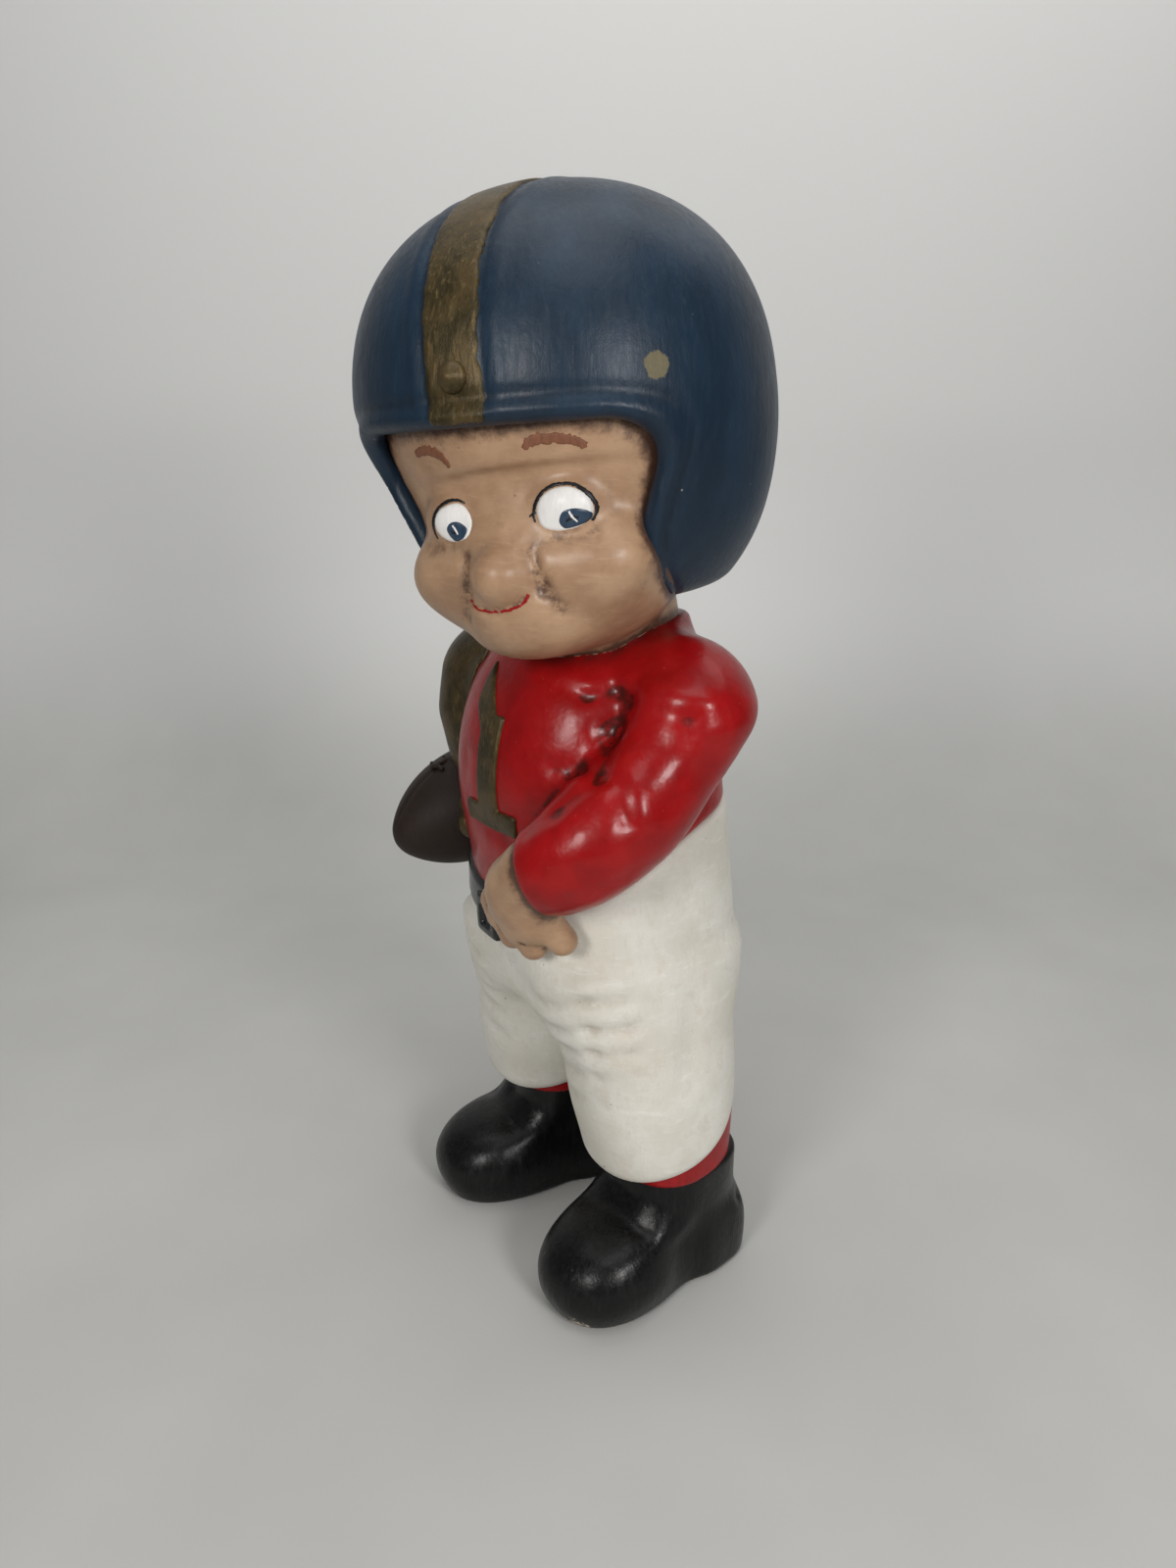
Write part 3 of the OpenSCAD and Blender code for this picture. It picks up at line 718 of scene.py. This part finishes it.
class Paint:
    """A material being built from nodes round one Principled shader."""

    def __init__(self, name):
        self.material = bpy.data.materials.new(name)
        self.material.use_nodes = True
        self.nodes, self.links = self.material.node_tree.nodes, self.material.node_tree.links
        self.shader = self.nodes["Principled BSDF"]
        self.where = self.nodes.new("ShaderNodeTexCoord").outputs["Object"]

    def put(self, socket, value):
        if isinstance(value, bpy.types.NodeSocket):
            self.links.new(value, socket)
        elif value is not None:
            socket.default_value = (*value, 1) if isinstance(value, tuple) and len(value) == 3 \
                and socket.type == "RGBA" else value

    def noise(self, size, detail=4, roughness=0.6, stretch=(1, 1, 1), turned=(0, 0, 0), distortion=0.0):
        """Noise whose features are about size mm, longer along axes whose stretch is over 1."""
        mapping = self.nodes.new("ShaderNodeMapping")
        self.links.new(self.where, mapping.inputs["Vector"])
        mapping.inputs["Rotation"].default_value = [math.radians(a) for a in turned]
        mapping.inputs["Scale"].default_value = [1 / s for s in stretch]
        texture = self.nodes.new("ShaderNodeTexNoise")
        self.links.new(mapping.outputs[0], texture.inputs["Vector"])
        texture.inputs["Scale"].default_value = 1000 / size
        texture.inputs["Detail"].default_value = detail
        texture.inputs["Roughness"].default_value = roughness
        texture.inputs["Distortion"].default_value = distortion
        return texture.outputs["Fac"]

    def span(self, value, low, high, to_low=0.0, to_high=1.0):
        """Smooth step of a value from low..high to to_low..to_high."""
        node = self.nodes.new("ShaderNodeMapRange")
        node.interpolation_type = "SMOOTHSTEP"
        self.put(node.inputs["Value"], value)
        for key, number in zip(("From Min", "From Max", "To Min", "To Max"), (low, high, to_low, to_high)):
            node.inputs[key].default_value = number
        return node.outputs["Result"]

    def math(self, operation, a, b=None):
        node = self.nodes.new("ShaderNodeMath")
        node.operation = operation
        self.put(node.inputs[0], a)
        self.put(node.inputs[1], b)
        return node.outputs[0]

    def times(self, *values):
        out = values[0]
        for value in values[1:]:
            out = self.math("MULTIPLY", out, value)
        return out

    def mark(self, name):
        node = self.nodes.new("ShaderNodeAttribute")
        node.attribute_name = name
        return node.outputs["Fac"]

    def mix(self, factor, a, b, mode="MIX"):
        node = self.nodes.new("ShaderNodeMix")
        node.data_type, node.blend_type = "RGBA", mode
        self.put(node.inputs["Factor"], factor)
        self.put(node.inputs["A"], a)
        self.put(node.inputs["B"], b)
        return node.outputs["Result"]

    def near(self, point, radius, wobble, size):
        """1 inside a ragged spot round a point of the figure, with its radius in metres."""
        node = self.nodes.new("ShaderNodeVectorMath")
        node.operation = "DISTANCE"
        self.put(node.inputs[0], self.where)
        node.inputs[1].default_value = tuple(world(point))
        ragged = self.math("MULTIPLY", self.math("SUBTRACT", self.noise(size, 3), 0.5), wobble * radius * 4)
        d = self.math("ADD", node.outputs["Value"], ragged)
        return self.span(d, radius * 0.88, radius * 1.06, 1, 0)

    def specks(self, size, share, seed=0.0):
        """Sparse round dots: size in mm, share of the cells that hold one."""
        mapping = self.nodes.new("ShaderNodeMapping")
        self.links.new(self.where, mapping.inputs["Vector"])
        mapping.inputs["Location"].default_value = (seed, seed, seed)
        cells = self.nodes.new("ShaderNodeTexVoronoi")
        self.links.new(mapping.outputs[0], cells.inputs["Vector"])
        cells.inputs["Scale"].default_value = 1000 / (size * 7)
        split = self.nodes.new("ShaderNodeSeparateColor")
        self.links.new(cells.outputs["Color"], split.inputs[0])
        chosen = self.span(split.outputs[0], share - 0.001, share + 0.001, 1, 0)
        return self.times(self.span(cells.outputs["Distance"], 0.05, 0.11, 1, 0), chosen)

    def relief(self, height, depth, under=None):
        """Bump of a 0..1 height, depth in mm."""
        node = self.nodes.new("ShaderNodeBump")
        node.inputs["Strength"].default_value = 1.0
        node.inputs["Distance"].default_value = depth * MM
        self.put(node.inputs["Height"], height)
        if under is not None:
            self.links.new(under, node.inputs["Normal"])
        return node.outputs[0]

    def finish(self, colour, roughness, normal=None, coat=0.0, coat_roughness=0.1, metallic=None,
               specular=0.5):
        self.put(self.shader.inputs["Base Color"], colour)
        self.put(self.shader.inputs["Roughness"], roughness)
        self.put(self.shader.inputs["Metallic"], metallic)
        self.shader.inputs["Specular IOR Level"].default_value = specular
        self.shader.inputs["Coat Weight"].default_value = coat
        self.shader.inputs["Coat Roughness"].default_value = coat_roughness
        if normal is not None:
            self.links.new(normal, self.shader.inputs["Normal"])
        return self.material


STAIN = (0.045, 0.016, 0.012)
BISQUE = (0.42, 0.36, 0.27)


def helmet_paint():
    m = Paint("helmet blue")
    strokes = m.noise(1.6, 5, 0.65, (1, 1, 9), (0, 8, 0), 0.4)
    broad = m.noise(16, 3, 0.5, (1, 1, 2.2))
    colour = m.mix(m.span(broad, 0.35, 0.68), (0.0075, 0.0195, 0.037), (0.0115, 0.029, 0.054))
    colour = m.mix(m.span(strokes, 0.5, 0.8, 0, 0.35), colour, (0.021, 0.043, 0.070))
    colour = m.mix(m.span(strokes, 0.2, 0.45, 0.35, 0), colour, (0.008, 0.017, 0.032))
    grime = m.times(m.mark("crease"), m.span(m.noise(4), 0.3, 0.6))
    colour = m.mix(m.times(grime, 0.7), colour, (0.008, 0.010, 0.014))
    spot = m.near(HEAD.out((46.8, -42.4, 5.2)), 0.0034, 0.16, 1.6)
    chip = m.mix(m.noise(1.5), (0.12, 0.10, 0.06), (0.17, 0.15, 0.09))
    colour = m.mix(spot, colour, chip)
    place = m.near(HEAD.out((36, 8, 50)), 0.034, 0.5, 14)
    scuffs = m.times(m.span(m.noise(1.1, 6, 0.8), 0.66, 0.70), m.span(m.noise(9, 2), 0.5, 0.6), place)
    colour = m.mix(m.times(scuffs, 0.75), colour, (0.42, 0.45, 0.47))
    dots = m.times(m.specks(0.5, 0.035), m.span(m.noise(30, 1), 0.45, 0.6))
    colour = m.mix(m.times(dots, 0.8), colour, (0.35, 0.36, 0.36))
    rough = m.math("ADD", m.span(strokes, 0.3, 0.8, 0.35, 0.50), m.times(spot, 0.3))
    normal = m.relief(strokes, 0.10, m.relief(m.noise(3.5, 3), 0.12))
    return m.finish(colour, rough, normal, specular=0.30)


def gold_paint():
    m = Paint("antique gold")
    strokes = m.noise(1.1, 5, 0.7, (1, 1, 7), (0, 8, 0), 0.5)
    patches = m.noise(9, 3, 0.6)
    colour = m.mix(m.span(patches, 0.35, 0.65), (0.036, 0.026, 0.008), (0.085, 0.057, 0.020))
    colour = m.mix(m.span(strokes, 0.52, 0.78, 0, 0.7), colour, (0.26, 0.18, 0.07))
    colour = m.mix(m.span(strokes, 0.25, 0.45, 0.6, 0), colour, (0.035, 0.026, 0.010))
    colour = m.mix(m.times(m.mark("crease"), 0.85), colour, (0.018, 0.013, 0.006))
    rough = m.span(strokes, 0.3, 0.75, 0.34, 0.52)
    normal = m.relief(strokes, 0.22, m.relief(m.noise(2.4, 2), 0.12))
    return m.finish(colour, rough, normal, coat=0.05, coat_roughness=0.3, metallic=0.35, specular=0.35)


def skin_paint(name, edge, dirt):
    """Skin, with stain in its creases (dirt) and where it meets the helmet or the jersey (edge)."""
    m = Paint(name)
    strokes = m.noise(1.3, 5, 0.65, (6, 6, 1), (0, 0, 0), 0.3)
    broad = m.noise(13, 4, 0.6)
    colour = m.mix(m.span(broad, 0.3, 0.7), (0.335, 0.197, 0.113), (0.445, 0.280, 0.167))
    colour = m.mix(m.span(strokes, 0.5, 0.8, 0, 0.35), colour, (0.56, 0.385, 0.25))
    dirty = m.math("MAXIMUM", m.times(m.mark("crease"), 1.1), m.times(m.mark("hollow"), 0.55))
    dirty = m.times(dirty, m.span(m.noise(3.0, 5, 0.7), 0.36, 0.64))
    rim = m.math("MAXIMUM", m.mark("helmet_near"), m.mark("jersey_near"))
    rim = m.span(m.math("ADD", rim, m.times(m.math("SUBTRACT", m.noise(4.5, 5, 0.7), 0.5), 0.9)), 0.42, 0.90)
    smudge = m.times(m.span(m.noise(9, 5, 0.75), 0.56, 0.70), 0.16)
    amount = m.math("MAXIMUM", m.math("MAXIMUM", m.times(dirty, dirt), m.times(rim, edge)), smudge)
    colour = m.mix(amount, colour, STAIN)
    colour = m.mix(m.times(m.specks(0.6, 0.05), 0.6), colour, (0.10, 0.05, 0.04))
    rough = m.span(strokes, 0.3, 0.8, 0.36, 0.50)
    normal = m.relief(strokes, 0.06, m.relief(m.noise(2.8, 3), 0.08))
    return m.finish(colour, rough, normal, coat=0.10, coat_roughness=0.25, specular=0.4)


def jersey_paint():
    m = Paint("jersey red")
    broad = m.noise(14, 4, 0.6)
    fine = m.noise(2.2, 4, 0.6, (1, 1, 1.6), (20, 30, 0))
    colour = m.mix(m.span(broad, 0.3, 0.7), (0.235, 0.0022, 0.0030), (0.33, 0.0040, 0.0052))
    colour = m.mix(m.span(fine, 0.60, 0.85, 0, 0.18), colour, (0.42, 0.010, 0.010))
    dark = m.math("MAXIMUM", m.span(m.mark("crease"), 0.5, 1.0), m.span(m.mark("hollow"), 0.45, 1.0))
    dark = m.times(dark, m.span(m.noise(3.2, 5, 0.7), 0.28, 0.58))
    colour = m.mix(m.times(dark, 0.9), colour, (0.030, 0.005, 0.003))
    chin = m.times(m.span(m.mark("head_near"), 0.50, 0.95), m.span(m.noise(3.5, 5, 0.7), 0.34, 0.6))
    colour = m.mix(m.times(chin, 0.75), colour, (0.06, 0.012, 0.009))
    bare = m.times(m.span(m.mark("head_near"), 0.93, 0.985), m.span(m.noise(2.6, 4, 0.7), 0.48, 0.55))
    colour = m.mix(m.times(bare, 0.85), colour, (0.52, 0.33, 0.24))
    dust = m.math("MAXIMUM", m.specks(0.25, 0.10), m.specks(0.35, 0.05, 0.3))
    colour = m.mix(m.times(dust, 0.4), colour, (0.55, 0.16, 0.13))
    normal = m.relief(m.noise(5.0, 2), 0.20, m.relief(fine, 0.03))
    rough = m.span(fine, 0.3, 0.8, 0.28, 0.38)
    return m.finish(colour, rough, normal, coat=0.10, coat_roughness=0.12, specular=0.26)


def trouser_paint():
    m = Paint("trouser white")
    strokes = m.noise(1.4, 5, 0.7, (1, 1, 5), (0, 18, 0), 0.8)
    cross = m.noise(2.2, 4, 0.65, (5, 5, 1), (0, 12, 0), 0.6)
    broad = m.noise(22, 4, 0.6)
    colour = m.mix(m.span(broad, 0.36, 0.66), (0.66, 0.635, 0.555), (0.76, 0.745, 0.685))
    colour = m.mix(m.span(strokes, 0.2, 0.46, 0.38, 0), colour, (0.50, 0.45, 0.345))
    colour = m.mix(m.span(cross, 0.52, 0.78, 0, 0.55), colour, (0.84, 0.83, 0.79))
    tint = m.times(m.span(m.noise(11, 5, 0.7), 0.5, 0.68), 0.32)
    colour = m.mix(tint, colour, (0.50, 0.41, 0.31))
    dirt = m.math("MAXIMUM", m.times(m.mark("crease"), 0.8), m.times(m.mark("hollow"), 0.3))
    colour = m.mix(m.times(dirt, m.span(m.noise(3, 5, 0.7), 0.3, 0.62), 0.55), colour, (0.36, 0.31, 0.24))
    dots = m.math("MAXIMUM", m.specks(0.36, 0.09), m.specks(0.6, 0.03, 0.7))
    colour = m.mix(m.times(dots, 0.85), colour, (0.06, 0.05, 0.04))
    normal = m.relief(strokes, 0.16, m.relief(cross, 0.14, m.relief(m.noise(5, 3), 0.25)))
    return m.finish(colour, m.span(strokes, 0.3, 0.8, 0.50, 0.66), normal)


def black_paint():
    m = Paint("shoe black")
    streaks = m.noise(1.5, 5, 0.65, (1, 1, 8), (0, 0, 0), 0.4)
    colour = m.mix(m.span(streaks, 0.45, 0.8), (0.0045, 0.0047, 0.0048), (0.013, 0.0133, 0.0133))
    colour = m.mix(m.span(m.noise(12, 3), 0.45, 0.7, 0, 0.5), colour, (0.010, 0.010, 0.0095))
    chip = m.near((51, -40, 0), 0.0065, 0.35, 2.5)
    chip = m.times(chip, m.span(m.noise(1.6, 4, 0.7), 0.45, 0.52))
    colour = m.mix(chip, colour, BISQUE)
    colour = m.mix(m.times(m.specks(0.4, 0.06), 0.5), colour, (0.12, 0.11, 0.10))
    normal = m.relief(streaks, 0.12, m.relief(m.noise(5, 3), 0.22))
    rough = m.span(streaks, 0.3, 0.8, 0.26, 0.40)
    return m.finish(colour, rough, normal, coat=0.04, coat_roughness=0.2, specular=0.22)


def plain_paint(name, colour, roughness, variation=0.25, coat=0.1, relief=0.06):
    """A small hand-painted area: one colour with brush strokes in it."""
    m = Paint(name)
    strokes = m.noise(1.2, 5, 0.65, (1, 1, 4))
    light = tuple(min(1.0, c * (1 + variation)) for c in colour)
    dark = tuple(c * (1 - variation) for c in colour)
    shade = m.mix(m.span(strokes, 0.3, 0.7), dark, light)
    rough = m.span(strokes, 0.3, 0.8, roughness - 0.05, roughness + 0.08)
    return m.finish(shade, rough, m.relief(strokes, relief), coat=coat, coat_roughness=0.2, specular=0.3)


# -------------------- pieces

def head_box(low, high):
    """A box in figure axes that holds a box of the head's axes."""
    xs, ys, zs = zip(low, high)
    corners = HEAD.out([(x, y, z) for x in xs for y in ys for z in zs])
    return corners.min(0), corners.max(0)


def build():
    gold, red, white, black = gold_paint(), jersey_paint(), trouser_paint(), black_paint()
    skin, hand_skin, blue = skin_paint("skin", 0.9, 0.75), skin_paint("hand skin", 0.85, 1.0), helmet_paint()
    brown = plain_paint("ball brown", (0.020, 0.0115, 0.0080), 0.6, 0.22, 0.0, 0.10)
    sock_red = plain_paint("sock red", (0.30, 0.006, 0.008), 0.40, 0.22, 0.05)
    gloss_black = plain_paint("belt black", (0.012, 0.014, 0.014), 0.25, 0.3, 0.3)

    # name, form, box, voxel, paint, and the CAD nodes that the piece replaces
    box = head_box((-66, -68, -54), (66, 66, 65))
    sculpt("helmet", helmet, box, 1.25, blue, ("helmet_shell", "helmet_rim"))
    sculpt("helmet_band", stripe, box, 1.0, gold, ("helmet_stripe",))
    box = head_box((-6, -70, 2), (7, -56, 16))
    sculpt("helmet_stud_dome", stud, box, 0.5, gold, ("helmet_stud",))
    box = (-14, -50, 162), (20, -24, 215)
    sculpt("numeral", numeral, box, 0.7, gold, ("jersey_numeral",))
    box = (-72, -32, 140), (-28, 24, 226)
    sculpt("sleeve_band", sleeve_band, box, 0.9, gold, ("sleeve_stripe",))

    box = head_box((-58, -66, -82), (58, 56, 0))
    near = {"helmet_near": helmet, "jersey_near": jersey}
    sculpt("face", head, box, 1.1, skin, ("head_shell",), near,
           lambda p: 1 - ease(HEAD.inside(p)[..., 2], -22, -17))
    box = (-96, -62, 118), (78, 52, 240)
    sculpt("jersey", jersey, box, 1.15, red, ("torso_shell", "left_sleeve", "right_sleeve"),
           {"head_near": head})
    box = (-60, -46, 40), (60, 54, 190)
    sculpt("trousers", trousers, box, 1.25, white,
           ("pants_seat", "left_pant_leg", "right_pant_leg"))

    box = (-50, -50, 118), (30, 0, 165)
    sculpt("belt_strap", belt, box, 0.9, gloss_black, ("belt",))
    box = (-18, -50, 118), (6, -30, 144)
    sculpt("belt_buckle", buckle, box, 0.6, gloss_black)
    box = (-90, -48, 124), (-38, 32, 176)
    sculpt("ball_leather", ball, box, 1.1, brown, ("football",))
    box = (-72, -28, 162), (-56, 12, 180)
    sculpt("ball_laces", laces, box, 0.6, brown)

    near = {"jersey_near": jersey}
    box = (0, -60, 126), (52, -22, 180)
    sculpt("hand_left", left_hand, box, 0.8, hand_skin, ("left_hand",), near)
    box = (-98, -34, 120), (-64, 28, 164)
    sculpt("hand_right", right_hand, box, 0.8, hand_skin, ("right_hand",), near)
    for side, word, xs in ((1, "left", (4, 66)), (-1, "right", (-66, -4))):
        box = (xs[0], -24, 42), (xs[1], 38, 68)
        sculpt("sock_" + word, lambda p: sock(p, side), box, 1.0, sock_red, (word + "_sock",))
        box = (xs[0], -52, -2), (xs[1], 42, 54)
        sculpt("shoe_" + word, lambda p: shoe(p, side), box, 1.0, black, (word + "_shoe",))
    paint_face()


# The painted eyes: x to the figure's left and z upwards from each eye's middle, then half widths
EYES = {
    "left": {
        "middle": (19.1, -26.5),
        "white": [(-7.6, 0.4), (-5.8, 3.8), (-2.1, 5.6), (2.6, 5.5), (6.4, 2.9), (7.5, -1.0), (5.3, -4.3),
                  (-0.5, -5.7), (-6.0, -4.2)],
        "iris": [(-1.8, -3.2), (-0.3, -0.6), (2.4, 0.2), (5.0, -0.2), (7.0, -1.5), (6.1, -3.7), (2.6, -5.0),
                 (-0.8, -5.2)],
        "lid": [(-8.0, -2.6, 0.3), (-8.2, 0.4, 0.5), (-6.6, 3.6, 0.55), (-3.4, 5.9, 0.55), (0.4, 6.4, 0.5),
                (4.2, 5.3, 0.5), (7.0, 2.3, 0.5), (7.8, -1.0, 0.42), (6.4, -4.0, 0.3)],
        "pupil": [(0.4, -3.3, 0.25), (2.3, -2.3, 0.42), (3.9, -2.5, 0.3)],
        "glint": [(1.9, -0.6, 0.28), (2.3, -2.1, 0.36), (3.3, -3.7, 0.2)]},
    "right": {
        "middle": (-14.6, -26.6),
        "white": [(-6.3, 0.4), (-4.0, 3.9), (1.1, 5.2), (4.5, 3.5), (6.3, -0.7), (4.5, -4.5), (-1.5, -5.3),
                  (-5.6, -3.2)],
        "iris": [(-2.6, -2.2), (-1.6, -0.2), (0.6, 0.5), (2.9, -0.2), (5.2, -2.5), (3.3, -4.7), (-0.8, -5.1)],
        "lid": [(-6.9, -4.0, 0.3), (-7.0, -0.8, 0.5), (-5.6, 2.8, 0.55), (-2.6, 5.3, 0.55), (1.1, 5.9, 0.45),
                (4.2, 4.6, 0.3)],
        "pupil": [(-0.9, -1.9, 0.25), (0.1, -2.8, 0.42), (1.3, -2.6, 0.3)],
        "glint": [(0.0, -0.6, 0.25), (0.7, -1.9, 0.32), (1.4, -3.4, 0.2)]}}
# Strokes in the head's axes: x, z and half width
LID_TICK = [(9.4, -27.5, 0.3), (11.6, -26.4, 0.45)]
BROW_LEFT = [(12.4, -10.4, 0.7), (14.6, -9.0, 1.3), (19.0, -8.6, 1.5), (23.0, -9.4, 1.4), (26.2, -10.6, 1.3),
             (26.9, -12.2, 0.8)]
BROW_RIGHT = [(-24.0, -7.6, 0.9), (-20.5, -6.9, 1.5), (-16.5, -7.4, 1.5), (-13.0, -9.2, 1.3),
              (-11.0, -12.2, 0.9)]
MOUTH = [(-12.3, -47.6, 0.35), (-8.6, -50.2, 0.42), (-2.0, -51.2, 0.5), (3.2, -50.7, 0.5), (6.6, -49.2, 0.5),
         (8.4, -47.2, 0.45)]


def placed(eye, key):
    """An eye's outline or stroke, moved to the eye's middle."""
    cx, cz = eye["middle"]
    return [(cx + x, cz + z, *width) for x, z, *width in eye[key]]


def paint_face():
    eye_white = plain_paint("eye white", (0.80, 0.79, 0.77), 0.42, 0.04, 0.1, 0.12)
    iris = plain_paint("iris blue", (0.026, 0.050, 0.088), 0.35, 0.2, 0.2)
    ink = plain_paint("ink black", (0.008, 0.008, 0.010), 0.35, 0.2, 0.2)
    brow = plain_paint("brow brown", (0.190, 0.076, 0.040), 0.5, 0.18, 0.0)
    lip = plain_paint("lip red", (0.30, 0.006, 0.008), 0.35, 0.15, 0.2)
    for word, eye in EYES.items():
        patch("eye_white_" + word, head, HEAD, placed(eye, "white"), 0.16, eye_white)
        patch("iris_" + word, head, HEAD, placed(eye, "iris"), 0.30, iris, rings=5)
        stroke("lid_line_" + word, head, HEAD, placed(eye, "lid"), 0.24, ink, seed=3)
        stroke("pupil_" + word, head, HEAD, placed(eye, "pupil"), 0.42, ink, seed=7)
        stroke("glint_" + word, head, HEAD, placed(eye, "glint"), 0.50, eye_white, seed=9)
    for name, path, paint in (("brow_left", BROW_LEFT, brow), ("brow_right", BROW_RIGHT, brow),
                              ("mouth", MOUTH, lip), ("lid_tick", LID_TICK, ink)):
        stroke(name, head, HEAD, path, 0.2, paint, seed=len(name))


# -------------------- studio

CAMERA_TURN, CAMERA_DOWN, CAMERA_AWAY, CAMERA_UP = 55.6, 18.5, 360.0, 293.0
CAMERA_FOCUS = 1150 / 1600            # focal length over the height of the frame
SENSOR = 36.0
ANGLE = math.radians(CAMERA_TURN)
RIGHT = np.array((math.cos(ANGLE), math.sin(ANGLE)))      # the camera's right on the floor
AWAY = np.array((-math.sin(ANGLE), math.cos(ANGLE)))      # and the way that it looks
# The paper, in metres: how far the wall is behind the figure, the bend's radius, how far the floor comes
# forward, how high the wall goes, and half the width
WALL, BEND, FLOOR_FRONT, WALL_TOP, HALF_WIDTH = 0.56, 0.26, 1.2, 1.3, 2.2
BEND_STEPS = 16
# name, metres to the camera's right, towards it and up, size, watts, colour, and what it faces as metres
# towards the camera and up
LIGHTS = [
    ("front left", -0.38, 0.70, 0.50, (0.20, 0.20), 2.7, (1.0, 0.98, 0.95), (0, 0.2)),
    ("front right", 0.42, 0.74, 0.50, (0.20, 0.22), 3.5, (1.0, 0.98, 0.96), (0, 0.2)),
    ("above", 0.05, 0.24, 1.05, (0.6, 0.6), 2.4, (1.0, 1.0, 1.0), (0, 0.2)),
    ("wall", 0.10, -0.22, 0.95, (1.2, 0.3), 2.3, (1.0, 0.99, 0.97), (-0.56, 0.22)),
]


def paper_with_painted_light():
    """Pale paper, with painted light: lighter up the wall, standing in for the light that falls on the wall.
    """
    paper = Paint("paper")
    shade = paper.mix(paper.span(paper.noise(160, 3), 0.3, 0.7), (0.49, 0.49, 0.475), (0.53, 0.53, 0.515))
    split = paper.nodes.new("ShaderNodeSeparateXYZ")
    paper.links.new(paper.where, split.inputs[0])
    # painted light: the wall is painted lighter than the floor, for the light falling on it
    shade = paper.mix(paper.span(split.outputs["Z"], 0.01, 0.16), shade, (0.72, 0.72, 0.71))
    return paper.finish(shade, 0.85)


def sweep():
    """Floor and back wall in one sheet of paper."""
    profile = [(-FLOOR_FRONT, 0.0), (WALL - BEND, 0.0)]
    for step in range(1, BEND_STEPS + 1):
        a = math.radians(step * 90 / BEND_STEPS)
        profile.append((WALL - BEND * (1 - math.sin(a)), BEND * (1 - math.cos(a))))
    profile.append((WALL, WALL_TOP))
    verts = [(*(AWAY * u + RIGHT * s), z) for s in (-HALF_WIDTH, HALF_WIDTH) for u, z in profile]
    n = len(profile)
    mesh = bpy.data.meshes.new("sweep")
    mesh.from_pydata(verts, [], [(i, i + 1, n + i + 1, n + i) for i in range(n - 1)])
    mesh.shade_smooth()
    floor = link("sweep", mesh)
    mesh.materials.append(paper_with_painted_light())


def studio_point(right, toward, up):
    """Metres in the CAD's frame, from metres to the camera's right of the ankles, towards it and up."""
    return np.array((*(RIGHT * right - AWAY * toward), up)) + world((0, 0, 0))


def lights():
    surroundings = bpy.data.worlds.new("studio")
    bpy.context.scene.world = surroundings
    surroundings.use_nodes = True
    background = surroundings.node_tree.nodes["Background"]
    background.inputs["Color"].default_value = (0.93, 0.95, 1.0, 1)
    background.inputs["Strength"].default_value = 0.11
    for name, right, toward, up, size, power, colour, target in LIGHTS:
        data = bpy.data.lights.new(name, "AREA")
        data.shape, data.size, data.size_y = "RECTANGLE", size[0], size[1]
        data.energy, data.color = power, colour
        lamp = link(name, data)
        lamp.location = studio_point(right, toward, up)
        facing = Vector(studio_point(0, *target)) - lamp.location
        lamp.rotation_euler = facing.to_track_quat("-Z", "Y").to_euler()


def camera():
    data = bpy.data.cameras.new("camera")
    data.sensor_fit, data.sensor_height = "VERTICAL", SENSOR
    data.lens = SENSOR * CAMERA_FOCUS
    eye = link("camera", data)
    eye.location = world((*(-CAMERA_AWAY * AWAY), CAMERA_UP))
    eye.rotation_euler = (math.radians(90 - CAMERA_DOWN), 0, ANGLE)
    bpy.context.scene.camera = eye
    bpy.context.scene.view_settings.view_transform = "Standard"


sweep()
lights()
camera()
build()
